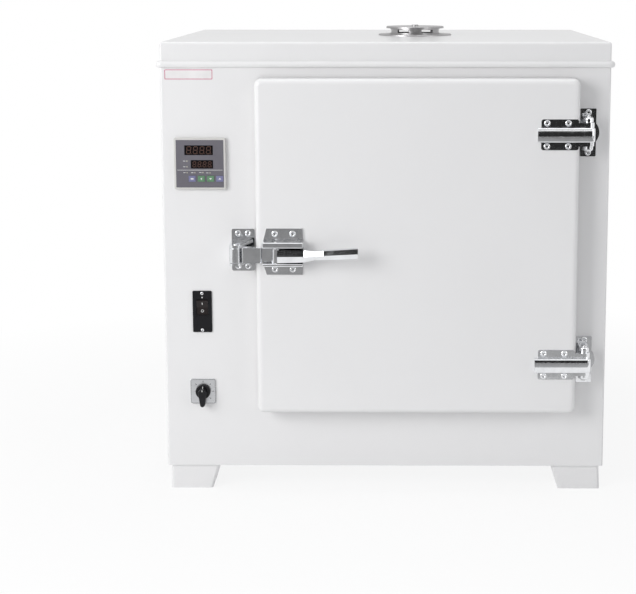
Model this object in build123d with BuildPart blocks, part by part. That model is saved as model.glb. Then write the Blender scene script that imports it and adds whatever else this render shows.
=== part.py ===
from build123d import *
import os

# A forced air laboratory drying oven, in millimetres.
# X runs to the right as seen from the front, Y runs from the front to the back and Z runs up.
# The origin is under the middle of the oven's bounding box, on the floor.

# Cabinet; its width, depth and height follow from what it holds
sheet = 2.0
control_bay_width = 151.3
cabinet_corner_radius = 4.0
rear_flange_width = 18.0

# Feet
foot_height = 46.0
foot_top_size = 92.0
foot_bottom_size = 80.0
foot_side_inset = 7.0
foot_front_inset = 4.0
foot_flare = 2.0
foot_sheet = 2.5
foot_corner_radius = 6.0

# Lid
lid_height = 47.0
lid_edge_radius = 5.0
bead_height = 12.0
bead_reach = 7.0
bead_edge_radius = 5.5

# Chamber
chamber_width = 480.0
chamber_height = 510.0
chamber_depth = 500.0
chamber_corner_radius = 14.0
liner_sheet = 2.0
mouth_depth = 30.0
mouth_flange_width = 22.0
plenum_depth = 60.0
baffle_sheet = 1.5
baffle_corner_clearance = 1.0
baffle_hole_radius = 7.0
baffle_ring_pitch = 24.0
baffle_slot_length = 46.0
baffle_slot_width = 8.0
baffle_slot_pitch = 44.0
baffle_slot_rows = 9
baffle_slot_inset = 45.0

# Insulation
left_insulation = 78.0
right_insulation = 112.7
bottom_insulation = 168.0
top_insulation = 118.0
rear_insulation_depth = 63.0

# Base plate
base_slot_length = 80.0
base_slot_width = 8.0
base_slot_pitch = 30.0
base_slots = 5

# Door
door_side_overlap = 56.5
door_top_overlap = 57.0
door_thickness = 42.0
door_gap = 4.0
door_corner_radius = 12.0
door_edge_radius = 10.0
door_sheet = 1.5
plug_depth = 20.0
plug_clearance = 12.0
plug_corner_radius = 8.0
plug_edge_radius = 3.0
gasket_width = 18.0
gasket_inset = 10.0
seal_clearance = 0.3
insulation_inset = 3.0
insulation_chamfer = 6.0

# Hinges
hinge_pin_outset = 16.2
hinge_pin_proud = 33.0
hinge_pin_radius = 4.0
hinge_pin_clearance = 0.05
hinge_pin_end = 3.0
hinge_upper_inset = 100.5
hinge_lower_inset = 95.0
barrel_radius = 10.0
barrel_height = 43.0
knuckle_radius = 9.0
knuckle_height = 9.0
knuckle_dome_radius = 3.5
knuckle_clearance = 0.3
bracket_width = 29.0
bracket_height = 88.5
bracket_sheet = 4.0
bracket_offset = 3.0
bracket_corner_radius = 2.0
bracket_screw_spacing = 74.0
bracket_lobe_radius = 26.0
bracket_lobe_reach = 6.0
strap_length = 68.1
strap_edge_inset = 3.0
strap_web_inset = 8.0
strap_height = 56.0
strap_sheet = 3.5
strap_corner_radius = 4.0
strap_screw_inset = 10.5
strap_screw_pitch = 38.7
strap_screw_spacing = 42.0
rib_overhang = 7.0
rib_height = 26.0
rib_proud = 16.5
rib_crown = 1.2
rib_edge_radius = 2.5

# Lever latch, on the door, and its keeper, on the cabinet
latch_drop = 9.0
latch_pin_inset = 38.2
latch_pin_proud = 20.0
latch_pin_radius = 3.0
latch_pin_clearance = 0.05
latch_pin_end = 1.0
latch_pin_dome = 1.5
latch_plate_inset = 14.2
latch_plate_width = 74.0
latch_plate_top = 47.5
latch_plate_bottom = 38.5
latch_plate_taper = 6.0
latch_plate_right_taper = 2.0
latch_plate_sheet = 3.0
latch_screw_inset = 37.6
latch_screw_rise = 4.7
latch_screw_pitch = 33.0
latch_screw_spacing = 66.0
housing_proud = 28.0
housing_top = 25.0
housing_bottom = 19.6
housing_edge_radius = 2.0
cheek_gap = 28.6
handle_barrel_radius = 7.0
handle_root_height = 26.0
handle_reach = 151.0
handle_grip_height = 20.0
handle_grip_gap = 30.0
handle_grip_thickness = 12.0
handle_ridge = 3.0
handle_waist_height = 17.0
handle_rise = 7.0
handle_root_start = 3.0
handle_root_drop = 1.0
handle_root_gap = 14.0
handle_shoulder_reach = 52.0
handle_waist_reach = 72.0
handle_waist_gap = 21.0
handle_grip_start = 88.0
handle_edge = 2.0
handle_bevel = 1.0
finger_length = 13.5
finger_width = 4.0
tongue_height = 28.0
tongue_gap = 3.0
tongue_bar_thickness = 8.0
tongue_tip_proud = 22.0
tongue_tip_width = 38.0
tongue_slot_width = 14.0
tongue_slot_clearance = 1.0
tongue_tail = 8.0
tongue_step = 4.0
tongue_edge_radius = 5.0
keeper_clearance = 0.7
keeper_door_gap = 5.7
keeper_plate_rise = 0.2
keeper_plate_width = 42.7
keeper_plate_height = 79.0
keeper_plate_sheet = 3.0
keeper_screw_pitch = 18.6
keeper_screw_spacing = 62.0
keeper_ear_thickness = 5.0
keeper_ear_inset = 3.0
keeper_web_clearance = 2.0
keeper_corner_radius = 3.0
roller_radius = 10.5
roller_height = 28.0
roller_offset = 9.25
roller_proud = 61.0
roller_edge_radius = 1.0
roller_pin_radius = 3.0
roller_pin_end = 1.0
roller_clearance = 0.05
roller_end_clearance = 0.3

# Countersunk screws
screw_head_radius = 5.8
screw_head_height = 3.0
screw_shank_radius = 2.5
screw_recess_length = 6.0
screw_recess_width = 1.2
screw_recess_depth = 1.4

# Temperature controller
controller_inset = 72.0
controller_drop = 177.0
controller_size = 96.0
controller_proud = 7.0
controller_corner_radius = 3.0
controller_edge_radius = 1.5
controller_case_size = 90.0
controller_case_depth = 78.0
controller_rim = 3.8
controller_recess = 1.5
controller_face_sheet = 1.2
display_recess = 0.7
upper_display = (-2.0, 25.2, 53.0, 18.4)
lower_display = (3.8, -1.0, 41.5, 16.0)
key_places = {"key_set": -14.7, "key_shift": 2.4, "key_down": 19.5, "key_up": 36.6}
key_z = -27.8
key_width = 13.0
key_height = 11.0
key_thickness = 3.0
key_proud = 1.2
key_travel = 1.0
key_clearance = 0.25
key_edge_radius = 0.8
key_pocket_margin = 1.0

# Breaker with a rocker
breaker_inset = 71.0
breaker_rise = 300.0
breaker_plate_width = 36.0
breaker_plate_height = 79.0
breaker_plate_sheet = 2.2
breaker_plate_corner_radius = 2.0
breaker_body_width = 30.0
breaker_body_height = 62.0
breaker_body_depth = 60.0
breaker_screw_spacing = 70.0
rocker_rise = 7.9
rocker_width = 21.9
rocker_radius = 14.8
rocker_pivot_depth = 2.0
rocker_edge_proud = 4.2
rocker_waist_proud = 2.6
rocker_tilt = 8.0
rocker_clearance = 0.3
pan_head_radius = 3.2
pan_head_height = 1.6

# Rotary selector
selector_inset = 70.0
selector_rise = 146.0
selector_plate_size = 48.0
selector_plate_sheet = 3.0
selector_corner_radius = 4.0
selector_edge_radius = 1.0
selector_body_size = 44.0
selector_body_corner_radius = 3.0
selector_body_depth = 55.0
selector_boss_radius = 11.0
selector_shaft_radius = 4.0
selector_shaft_length = 30.0
selector_shaft_end_clearance = 1.0
selector_clearance = 0.05
knob_gap = 0.3
knob_radius = 14.0
knob_base_height = 6.0
knob_height = 18.0
knob_grip_radius = 8.0
knob_tail = 27.0
knob_tail_width = 9.0
knob_base_edge_radius = 1.5
knob_grip_edge_radius = 2.0

# Vent on the lid
vent_depth = 345.0
vent_flange_radius = 74.0
vent_flange_sheet = 3.0
vent_neck_radius = 50.0
vent_neck_wall = 4.0
vent_neck_height = 11.0
vent_cap_radius = 58.5
vent_cap_sheet = 4.0
vent_cap_dome = 1.8
vent_sleeve_wall = 2.0
vent_clearance = 0.35
vent_windows = 6
vent_window_width = 26.0
vent_window_height = 6.5
vent_tab_width = 9.0
vent_tab_reach = 6.0
vent_tab_drop = 5.0
vent_tab_overlap = 4.0
vent_tab_lip = 2.0
vent_boss_radius = 7.0
vent_boss_height = 3.0
pipe_radius = 25.0
pipe_wall = 2.0
pipe_clearance = 0.2

# Fan, motor and heater
fan_radius = 90.0
fan_length = 40.0
fan_gap = 6.5
fan_sheet = 1.5
fan_hub_radius = 15.0
fan_inlet_radius = 62.0
fan_blades = 14
fan_blade_curve = 4.0
fan_blade_margin = 1.0
fan_hub_length = 18.0
shaft_seat = 20.0
shaft_reach = 45.0
shaft_end_clearance = 1.0
shaft_chamfer = 0.8
shaft_radius = 6.0
shaft_hole_radius = 13.0
shaft_clearance = 0.05
motor_radius = 48.0
motor_length = 64.0
motor_flange_size = 112.0
motor_flange_sheet = 5.0
motor_flange_corner_radius = 10.0
motor_edge_radius = 8.0
motor_ribs = 16
motor_rib_height = 5.0
motor_rib_sheet = 3.0
motor_rib_margin = 4.0
motor_clearance = 17.0
heater_front_radius = 118.0
heater_rear_radius = 103.0
heater_leg_reach = 6.0
heater_tube_radius = 4.0
heater_pitch = 18.0
heater_gap_angle = 30.0

# Shelves
first_ledge_rise = 95.0
ledge_pitch = 90.0
ledge_count = 4
shelf_ledges = {"wire_shelf_lower": 0, "wire_shelf_upper": 2}
shelf_front_clearance = 30.0
shelf_rear_clearance = 12.0
shelf_wire_radius = 3.0
shelf_cross_radius = 1.6
shelf_cross_pitch = 22.0
shelf_corner_radius = 14.0
shelf_seat_clearance = 0.3
shelf_side_clearance = 2.0
shelf_brace_radius = 2.5
rail_post_inset = 50.0
rail_post_width = 20.0
rail_post_thickness = 6.0
rail_post_margin = 30.0
rail_ledge_overhang = 30.0
rail_sheet = 1.5
rail_ledge_width = 16.0
rail_ledge_height = 12.0

# Sensing and electrical pieces
probe_radius = 3.0
probe_reach = 45.0
probe_setback = 30.0
probe_rise = 117.0
probe_tail = 12.0
probe_nut_radius = 8.0
probe_nut_height = 6.0
heatsink_depth = 300.0
heatsink_rise = 87.0
heatsink_width = 110.0
heatsink_height = 120.0
heatsink_base = 6.0
heatsink_fin_height = 26.0
heatsink_fin_sheet = 2.0
heatsink_fins_each_side = 3
heatsink_fin_pitch = 8.0
relay_width = 45.0
relay_height = 58.0
relay_thickness = 24.0
relay_chamfer = 1.5
relay_hole_radius = 4.0
relay_hole_depth = 2.0
relay_hole_spacing_depth = 22.5
relay_hole_spacing_z = 44.0
terminal_depth = 300.0
terminal_drop = 143.0
terminal_width = 120.0
terminal_height = 22.0
terminal_thickness = 18.0
terminal_poles = 8
terminal_well_width = 8.0
terminal_well_height = 15.4
terminal_well_depth = 6.0

# Rear panel and gland
gland_inset = 85.0
gland_rise = 74.0
gland_reach = 22.0
gland_thread_radius = 10.0
gland_bore_radius = 6.0
gland_hex_radius = 16.0
gland_hex_height = 7.0
gland_nut_height = 5.0
gland_dome_wall = 3.0
gland_dome_edge_radius = 5.0
louvre_width = 90.0
louvre_reach = 7.0
louvre_height = 9.0
louvre_pitch_x = 130.0
louvre_pitch_z = 22.0
louvre_columns = 3
louvre_rows = 6
louvre_sheet = 1.2

# Depths, counted inwards from the front panel
chamber_back = mouth_depth + chamber_depth
liner_back = chamber_back + liner_sheet
baffle_front = chamber_back - plenum_depth
insulation_front = 2 * sheet
motor_plate_front = liner_back + rear_insulation_depth
motor_plate_back = motor_plate_front + sheet
rear_panel_front = motor_plate_back + motor_length + motor_clearance
cabinet_depth = rear_panel_front + sheet
door_front = door_gap + door_thickness
front_reach = door_front + handle_grip_gap + handle_grip_thickness + handle_ridge
front_y = front_reach - (front_reach + cabinet_depth + gland_reach) / 2
fan_front = baffle_front + baffle_sheet + fan_gap
fan_back = fan_front + fan_length
shaft_end_depth = motor_plate_back + shaft_reach
probe_depth = baffle_front + probe_setback
shelf_front = mouth_depth + shelf_front_clearance
shelf_back = baffle_front - shelf_rear_clearance
shelf_depth = shelf_back - shelf_front

# Places across the width
liner_width = chamber_width + 2 * liner_sheet
cabinet_width = (
    control_bay_width + sheet + left_insulation + liner_width + right_insulation + sheet
)
inner_width = cabinet_width - 2 * sheet
cabinet_left = -cabinet_width / 2
partition_left = cabinet_left + control_bay_width
partition_right = partition_left + sheet
liner_left = partition_right + left_insulation
liner_right = liner_left + liner_width
chamber_centre_x = liner_left + liner_width / 2
door_width = chamber_width + 2 * door_side_overlap
door_left = chamber_centre_x - door_width / 2
door_right = chamber_centre_x + door_width / 2
hinge_pin_x = door_right + hinge_pin_outset
strap_right = door_right - strap_edge_inset
strap_left = strap_right - strap_length
latch_pin_x = door_left + latch_pin_inset
latch_plate_left = door_left + latch_plate_inset
latch_screw_x = latch_plate_left + latch_screw_inset
keeper_plate_x = door_left - keeper_door_gap - keeper_plate_width / 2
roller_x = keeper_plate_x - roller_offset
controller_x = cabinet_left + controller_inset
breaker_x = cabinet_left + breaker_inset
selector_x = cabinet_left + selector_inset
gland_x = cabinet_left + gland_inset

# Heights over the floor
floor_z = foot_height + sheet
liner_height = chamber_height + 2 * liner_sheet
liner_bottom = floor_z + bottom_insulation
liner_top = liner_bottom + liner_height
chamber_bottom = liner_bottom + liner_sheet
chamber_centre_z = liner_bottom + liner_height / 2
ceiling_z = liner_top + top_insulation
lid_top = ceiling_z + sheet
lid_bottom = lid_top - lid_height
door_height = chamber_height + 2 * door_top_overlap
door_bottom = chamber_centre_z - door_height / 2
door_top = chamber_centre_z + door_height / 2
hinge_heights = {"upper": door_top - hinge_upper_inset, "lower": door_bottom + hinge_lower_inset}
latch_z = chamber_centre_z - latch_drop
latch_screw_z = latch_z + latch_screw_rise
keeper_plate_z = latch_z + keeper_plate_rise
controller_z = lid_bottom - controller_drop
breaker_z = foot_height + breaker_rise
selector_z = foot_height + selector_rise
gland_z = foot_height + gland_rise
probe_z = chamber_centre_z + probe_rise
heatsink_z = chamber_centre_z + heatsink_rise
terminal_z = chamber_centre_z - terminal_drop
ledge_levels = [chamber_bottom + first_ledge_rise + ledge_pitch * step for step in range(ledge_count)]

# Corners of the chamber and the heater's two rings: depth, radius and the angle of the opening
liner_corner_radius = chamber_corner_radius + liner_sheet
heater_rings = (
    (fan_front + heater_pitch / 2, heater_front_radius, 270.0),
    (fan_front + heater_pitch * 1.5, heater_rear_radius, 90.0),
)


def face(depth, x=0.0, z=0.0):
    """A plane parallel to the front that faces the viewer; depth counts inwards from the front."""
    return Plane(origin=(x, front_y + depth, z), x_dir=(1, 0, 0), z_dir=(0, -1, 0))


def level(z, x=0.0, depth=0.0):
    """A horizontal plane, seen from above, whose own y runs inwards."""
    return Plane(origin=(x, front_y + depth, z))


def side(x, depth=0.0, z=0.0):
    """An upright plane across the oven that faces right; its own x runs inwards."""
    return Plane(origin=(x, front_y + depth, z), x_dir=(0, 1, 0), z_dir=(1, 0, 0))


def block(x_span, depth_span, z_span, mode=Mode.ADD):
    """A box between two corners, given as spans of x, depth and z."""
    size = [span[1] - span[0] for span in (x_span, depth_span, z_span)]
    centre = [sum(span) / 2 for span in (x_span, depth_span, z_span)]
    with Locations((centre[0], front_y + centre[1], centre[2])):
        Box(*size, mode=mode)


def rod(start_depth, end_depth, x, z, radius, mode=Mode.ADD):
    """A round bar along the depth."""
    middle = (x, front_y + (start_depth + end_depth) / 2, z)
    with Locations(Location(middle, (90, 0, 0))):
        Cylinder(radius, end_depth - start_depth, mode=mode)


# Cabinet shell: front panel and both sides bent from one sheet, open at the back
with BuildPart() as cabinet_shell:
    block((-cabinet_width / 2, cabinet_width / 2), (0, cabinet_depth), (foot_height, lid_bottom))
    fillet(
        cabinet_shell.edges().filter_by(Axis.Z).group_by(Axis.Y)[0],
        radius=cabinet_corner_radius,
    )
    block(
        (-inner_width / 2, inner_width / 2),
        (sheet, cabinet_depth),
        (foot_height, lid_bottom),
        mode=Mode.SUBTRACT,
    )
    for x_span in (
        (-inner_width / 2, -inner_width / 2 + rear_flange_width),
        (inner_width / 2 - rear_flange_width, inner_width / 2),
    ):
        block(x_span, (rear_panel_front - sheet, rear_panel_front), (foot_height, lid_bottom))
    with BuildSketch(face(0)):
        with Locations((chamber_centre_x, chamber_centre_z)):
            RectangleRounded(liner_width, liner_height, liner_corner_radius)
        with Locations((controller_x, controller_z)):
            Rectangle(controller_case_size, controller_case_size)
        with Locations((breaker_x, breaker_z)):
            Rectangle(breaker_body_width, breaker_body_height)
        with Locations((selector_x, selector_z)):
            Circle(selector_boss_radius)
    extrude(amount=-sheet, mode=Mode.SUBTRACT)
cabinet_shell.part.label = "cabinet_shell"

# Base plate inside the shell's lower edge, with slots that let cooling air in
with BuildPart() as base_pan:
    block(
        (-inner_width / 2, inner_width / 2),
        (sheet, rear_panel_front - sheet),
        (foot_height, floor_z),
    )
    control_bay_x = (partition_left - inner_width / 2) / 2
    with BuildSketch(level(foot_height, control_bay_x, cabinet_depth / 2)):
        with GridLocations(0, base_slot_pitch, 1, base_slots):
            SlotOverall(base_slot_length, base_slot_width)
    extrude(amount=sheet, mode=Mode.SUBTRACT)
base_pan.part.label = "base_pan"

# Lid: a shallow tray with a rolled bead round its lower edge and a hole for the vent pipe
with BuildPart() as lid_bead:
    block(
        (-cabinet_width / 2 - bead_reach, cabinet_width / 2 + bead_reach),
        (-bead_reach, cabinet_depth + bead_reach),
        (lid_bottom, lid_bottom + bead_height),
    )
    fillet(lid_bead.edges().filter_by(Axis.Z), radius=cabinet_corner_radius + bead_reach)
    bead_levels = lid_bead.faces().sort_by(Axis.Z)
    fillet(bead_levels[0].edges() + bead_levels[-1].edges(), radius=bead_edge_radius)

with BuildPart() as top_lid:
    block((-cabinet_width / 2, cabinet_width / 2), (0, cabinet_depth), (lid_bottom, lid_top))
    fillet(top_lid.edges().filter_by(Axis.Z), radius=cabinet_corner_radius)
    fillet(top_lid.faces().sort_by(Axis.Z)[-1].edges(), radius=lid_edge_radius)
    add(lid_bead.part)
    block(
        (-inner_width / 2, inner_width / 2),
        (sheet, cabinet_depth - sheet),
        (lid_bottom, ceiling_z),
        mode=Mode.SUBTRACT,
    )
    with BuildSketch(level(ceiling_z, x=chamber_centre_x, depth=vent_depth)):
        Circle(pipe_radius + pipe_clearance)
    extrude(amount=sheet, mode=Mode.SUBTRACT)
top_lid.part.label = "top_lid"

# Mouth frame: the throat between the front panel and the chamber
with BuildPart() as mouth_frame:
    with BuildSketch(face(0, chamber_centre_x, chamber_centre_z)):
        RectangleRounded(liner_width, liner_height, liner_corner_radius)
    extrude(amount=-mouth_depth)
    with BuildSketch(face(sheet, chamber_centre_x, chamber_centre_z)):
        RectangleRounded(
            liner_width + 2 * mouth_flange_width,
            liner_height + 2 * mouth_flange_width,
            liner_corner_radius,
        )
    extrude(amount=-sheet)
    with BuildSketch(face(0, chamber_centre_x, chamber_centre_z)):
        RectangleRounded(chamber_width, chamber_height, chamber_corner_radius)
    extrude(amount=-mouth_depth, mode=Mode.SUBTRACT)
mouth_frame.part.label = "mouth_frame"

# Chamber liner: a box open at the front, with holes for the shaft, heater, vent and probe
heater_legs = []
for ring_depth, ring_radius, gap_centre in heater_rings:
    for turn in (-heater_gap_angle / 2, heater_gap_angle / 2):
        leg = Vector(ring_radius, 0, 0).rotate(Axis.Z, gap_centre + turn)
        heater_legs.append((ring_depth, chamber_centre_x + leg.X, chamber_centre_z + leg.Y))

with BuildPart() as chamber_liner:
    with BuildSketch(face(mouth_depth, chamber_centre_x, chamber_centre_z)):
        RectangleRounded(liner_width, liner_height, liner_corner_radius)
    extrude(amount=-(chamber_depth + liner_sheet))
    with BuildSketch(face(mouth_depth, chamber_centre_x, chamber_centre_z)):
        RectangleRounded(chamber_width, chamber_height, chamber_corner_radius)
    extrude(amount=-chamber_depth, mode=Mode.SUBTRACT)
    rod(chamber_back, liner_back, chamber_centre_x, chamber_centre_z, shaft_hole_radius, Mode.SUBTRACT)
    for _, leg_x, leg_z in heater_legs:
        leg_radius = heater_tube_radius + pipe_clearance
        rod(chamber_back, liner_back, leg_x, leg_z, leg_radius, Mode.SUBTRACT)
    with BuildSketch(level(liner_top, x=chamber_centre_x, depth=vent_depth)):
        Circle(pipe_radius + pipe_clearance)
    extrude(amount=-liner_sheet, mode=Mode.SUBTRACT)
    with BuildSketch(side(liner_left, probe_depth, probe_z)):
        Circle(probe_radius + pipe_clearance)
    extrude(amount=liner_sheet, mode=Mode.SUBTRACT)
chamber_liner.part.label = "chamber_liner"

# Insulation slabs on the four sides of the chamber
slab_depths = (insulation_front, liner_back)
with BuildPart() as wall_insulation:
    block((partition_right, liner_left), slab_depths, (floor_z, ceiling_z))
    block((liner_right, inner_width / 2), slab_depths, (floor_z, ceiling_z))
    block((liner_left, liner_right), slab_depths, (liner_top, ceiling_z))
    block((liner_left, liner_right), slab_depths, (floor_z, liner_bottom))
    with BuildSketch(level(liner_top, x=chamber_centre_x, depth=vent_depth)):
        Circle(pipe_radius + pipe_clearance)
    extrude(amount=ceiling_z - liner_top, mode=Mode.SUBTRACT)
    with BuildSketch(side(partition_right, probe_depth, probe_z)):
        Circle(probe_radius + pipe_clearance)
    extrude(amount=left_insulation, mode=Mode.SUBTRACT)
wall_insulation.part.label = "wall_insulation"

# Insulation behind the chamber
with BuildPart() as rear_insulation:
    block(
        (partition_right, inner_width / 2),
        (liner_back, motor_plate_front),
        (floor_z, ceiling_z),
    )
    rod(
        liner_back,
        motor_plate_front,
        chamber_centre_x,
        chamber_centre_z,
        shaft_hole_radius,
        Mode.SUBTRACT,
    )
    for _, leg_x, leg_z in heater_legs:
        leg_radius = heater_tube_radius + pipe_clearance
        rod(liner_back, motor_plate_front, leg_x, leg_z, leg_radius, Mode.SUBTRACT)
rear_insulation.part.label = "rear_insulation"

# Partition between the insulation and the control bay
with BuildPart() as control_partition:
    block((partition_left, partition_right), (sheet, motor_plate_front), (floor_z, ceiling_z))
    with BuildSketch(side(partition_left, probe_depth, probe_z)):
        Circle(probe_radius + pipe_clearance)
    extrude(amount=sheet, mode=Mode.SUBTRACT)
control_partition.part.label = "control_partition"

# Plate that carries the fan motor behind the rear insulation
with BuildPart() as motor_partition:
    block(
        (-inner_width / 2, inner_width / 2),
        (motor_plate_front, motor_plate_back),
        (floor_z, ceiling_z),
    )
    rod(
        motor_plate_front,
        motor_plate_back,
        chamber_centre_x,
        chamber_centre_z,
        shaft_hole_radius,
        Mode.SUBTRACT,
    )
    for _, leg_x, leg_z in heater_legs:
        leg_radius = heater_tube_radius + pipe_clearance
        rod(motor_plate_front, motor_plate_back, leg_x, leg_z, leg_radius, Mode.SUBTRACT)
motor_partition.part.label = "motor_partition"

# Rear panel with pressed louvres and the hole for the mains gland
with BuildPart() as louvre_hood:
    with BuildSketch(side(chamber_centre_x - louvre_width / 2, cabinet_depth, chamber_centre_z)):
        with BuildLine():
            Polyline(
                (-louvre_sheet, louvre_height / 2),
                (0, louvre_height / 2),
                (louvre_reach, -louvre_height / 2),
                (louvre_reach - louvre_sheet, -louvre_height / 2),
                (-louvre_sheet, louvre_height / 2 - louvre_sheet),
                close=True,
            )
        make_face()
    extrude(amount=louvre_width)

with BuildPart() as rear_panel:
    block(
        (-inner_width / 2, inner_width / 2),
        (rear_panel_front, cabinet_depth),
        (foot_height, lid_bottom),
    )
    with BuildSketch(face(rear_panel_front, chamber_centre_x, chamber_centre_z)):
        with GridLocations(louvre_pitch_x, louvre_pitch_z, louvre_columns, louvre_rows):
            Rectangle(louvre_width, louvre_height)
    extrude(amount=-sheet, mode=Mode.SUBTRACT)
    for column in range(louvre_columns):
        for row in range(louvre_rows):
            shift_x = (column - (louvre_columns - 1) / 2) * louvre_pitch_x
            shift_z = (row - (louvre_rows - 1) / 2) * louvre_pitch_z
            add(louvre_hood.part.moved(Location((shift_x, 0, shift_z))))
    rod(rear_panel_front, cabinet_depth, gland_x, gland_z, gland_thread_radius, Mode.SUBTRACT)
rear_panel.part.label = "rear_panel"

# Mains gland: a threaded sleeve with a hexagon and a dome nut outside and a nut inside
gland_inside = rear_panel_front - gland_nut_height
gland_end = cabinet_depth + gland_reach
dome_start = cabinet_depth + gland_hex_height
with BuildPart() as gland_dome:
    rod(dome_start, gland_end, gland_x, gland_z, gland_thread_radius + gland_dome_wall)
    fillet(gland_dome.faces().sort_by(Axis.Y)[-1].edges(), radius=gland_dome_edge_radius)

with BuildPart() as cable_gland:
    rod(gland_inside, cabinet_depth, gland_x, gland_z, gland_thread_radius)
    with BuildSketch(face(rear_panel_front, gland_x, gland_z)):
        RegularPolygon(gland_hex_radius, 6)
    extrude(amount=gland_nut_height)
    with BuildSketch(face(cabinet_depth, gland_x, gland_z)):
        RegularPolygon(gland_hex_radius, 6)
    extrude(amount=-gland_hex_height)
    add(gland_dome.part)
    rod(gland_inside, gland_end, gland_x, gland_z, gland_bore_radius, Mode.SUBTRACT)
cable_gland.part.label = "cable_gland"

# Air baffle in front of the fan: an inlet of rings of holes and outlet slots at both sides
with BuildPart() as air_baffle:
    with BuildSketch(face(baffle_front, chamber_centre_x, chamber_centre_z)):
        RectangleRounded(
            chamber_width, chamber_height, chamber_corner_radius + baffle_corner_clearance
        )
        Circle(baffle_hole_radius, mode=Mode.SUBTRACT)
        for ring in (1, 2):
            with PolarLocations(ring * baffle_ring_pitch, 6 * ring):
                Circle(baffle_hole_radius, mode=Mode.SUBTRACT)
        slot_columns = chamber_width - 2 * baffle_slot_inset
        with GridLocations(slot_columns, baffle_slot_pitch, 2, baffle_slot_rows):
            SlotOverall(baffle_slot_length, baffle_slot_width, mode=Mode.SUBTRACT)
    extrude(amount=-baffle_sheet)
air_baffle.part.label = "air_baffle"

# Tubular heater: two open rings round the fan, whose legs go out through the back
with BuildPart() as heater_coil:
    for ring_depth, ring_radius, gap_centre in heater_rings:
        ring_plane = face(ring_depth, chamber_centre_x, chamber_centre_z)
        with BuildLine(ring_plane) as ring_path:
            CenterArc((0, 0), ring_radius, gap_centre + heater_gap_angle / 2, 360 - heater_gap_angle)
        with BuildSketch(Plane(origin=ring_path.line @ 0, z_dir=ring_path.line % 0)):
            Circle(heater_tube_radius)
        sweep(path=ring_path.line)
    for ring_depth, leg_x, leg_z in heater_legs:
        rod(ring_depth, motor_plate_back + heater_leg_reach, leg_x, leg_z, heater_tube_radius)
        with Locations((leg_x, front_y + ring_depth, leg_z)):
            Sphere(heater_tube_radius)
heater_coil.part.label = "heater_coil"

# Centrifugal impeller: a back plate, curved blades, a front ring and a hub on the shaft
blade_reach = (fan_radius - fan_inlet_radius) / 2 - fan_blade_margin
with BuildSketch() as fan_blade:
    SlotArc(
        ThreePointArc((-blade_reach, -fan_blade_curve), (0, 0), (blade_reach, fan_blade_curve * 2)),
        fan_sheet,
    )

with BuildPart() as fan_impeller:
    rod(fan_back - fan_sheet, fan_back, chamber_centre_x, chamber_centre_z, fan_radius)
    with BuildSketch(face(fan_front, chamber_centre_x, chamber_centre_z)):
        Circle(fan_radius)
        Circle(fan_inlet_radius, mode=Mode.SUBTRACT)
    extrude(amount=-fan_sheet)
    with BuildSketch(face(fan_front + fan_sheet, chamber_centre_x, chamber_centre_z)):
        with PolarLocations((fan_radius + fan_inlet_radius) / 2, fan_blades):
            add(fan_blade.sketch)
    extrude(amount=-(fan_length - 2 * fan_sheet))
    rod(fan_back - fan_hub_length, fan_back, chamber_centre_x, chamber_centre_z, fan_hub_radius)
    rod(fan_front, fan_back, chamber_centre_x, chamber_centre_z, shaft_radius, Mode.SUBTRACT)
fan_impeller.part.label = "fan_impeller"

with BuildPart() as fan_shaft:
    rod(fan_back - shaft_seat, shaft_end_depth, chamber_centre_x, chamber_centre_z, shaft_radius)
    chamfer(fan_shaft.edges().filter_by(GeomType.CIRCLE), length=shaft_chamfer)
fan_shaft.part.label = "fan_shaft"

# Motor: a square flange on its plate and a round can with cooling ribs
with BuildPart() as fan_motor:
    with BuildSketch(face(motor_plate_back, chamber_centre_x, chamber_centre_z)):
        RectangleRounded(motor_flange_size, motor_flange_size, motor_flange_corner_radius)
    extrude(amount=-motor_flange_sheet)
    can_front = motor_plate_back + motor_flange_sheet
    rod(can_front, motor_plate_back + motor_length, chamber_centre_x, chamber_centre_z, motor_radius)
    fillet(fan_motor.faces().sort_by(Axis.Y)[-1].edges(), radius=motor_edge_radius)
    with BuildSketch(face(can_front, chamber_centre_x, chamber_centre_z)):
        with PolarLocations(motor_radius, motor_ribs):
            Rectangle(motor_rib_height, motor_rib_sheet)
    extrude(amount=-(motor_length - motor_flange_sheet - motor_edge_radius - motor_rib_margin))
    rod(
        motor_plate_back,
        shaft_end_depth + shaft_end_clearance,
        chamber_centre_x,
        chamber_centre_z,
        shaft_radius + shaft_clearance,
        Mode.SUBTRACT,
    )
fan_motor.part.label = "fan_motor"

# Vent pipe from the chamber's roof to the lid
with BuildPart() as vent_pipe:
    with BuildSketch(level(liner_top - liner_sheet, x=chamber_centre_x, depth=vent_depth)):
        Circle(pipe_radius)
        Circle(pipe_radius - pipe_wall, mode=Mode.SUBTRACT)
    extrude(amount=lid_top - liner_top + liner_sheet)
vent_pipe.part.label = "vent_pipe"

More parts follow.
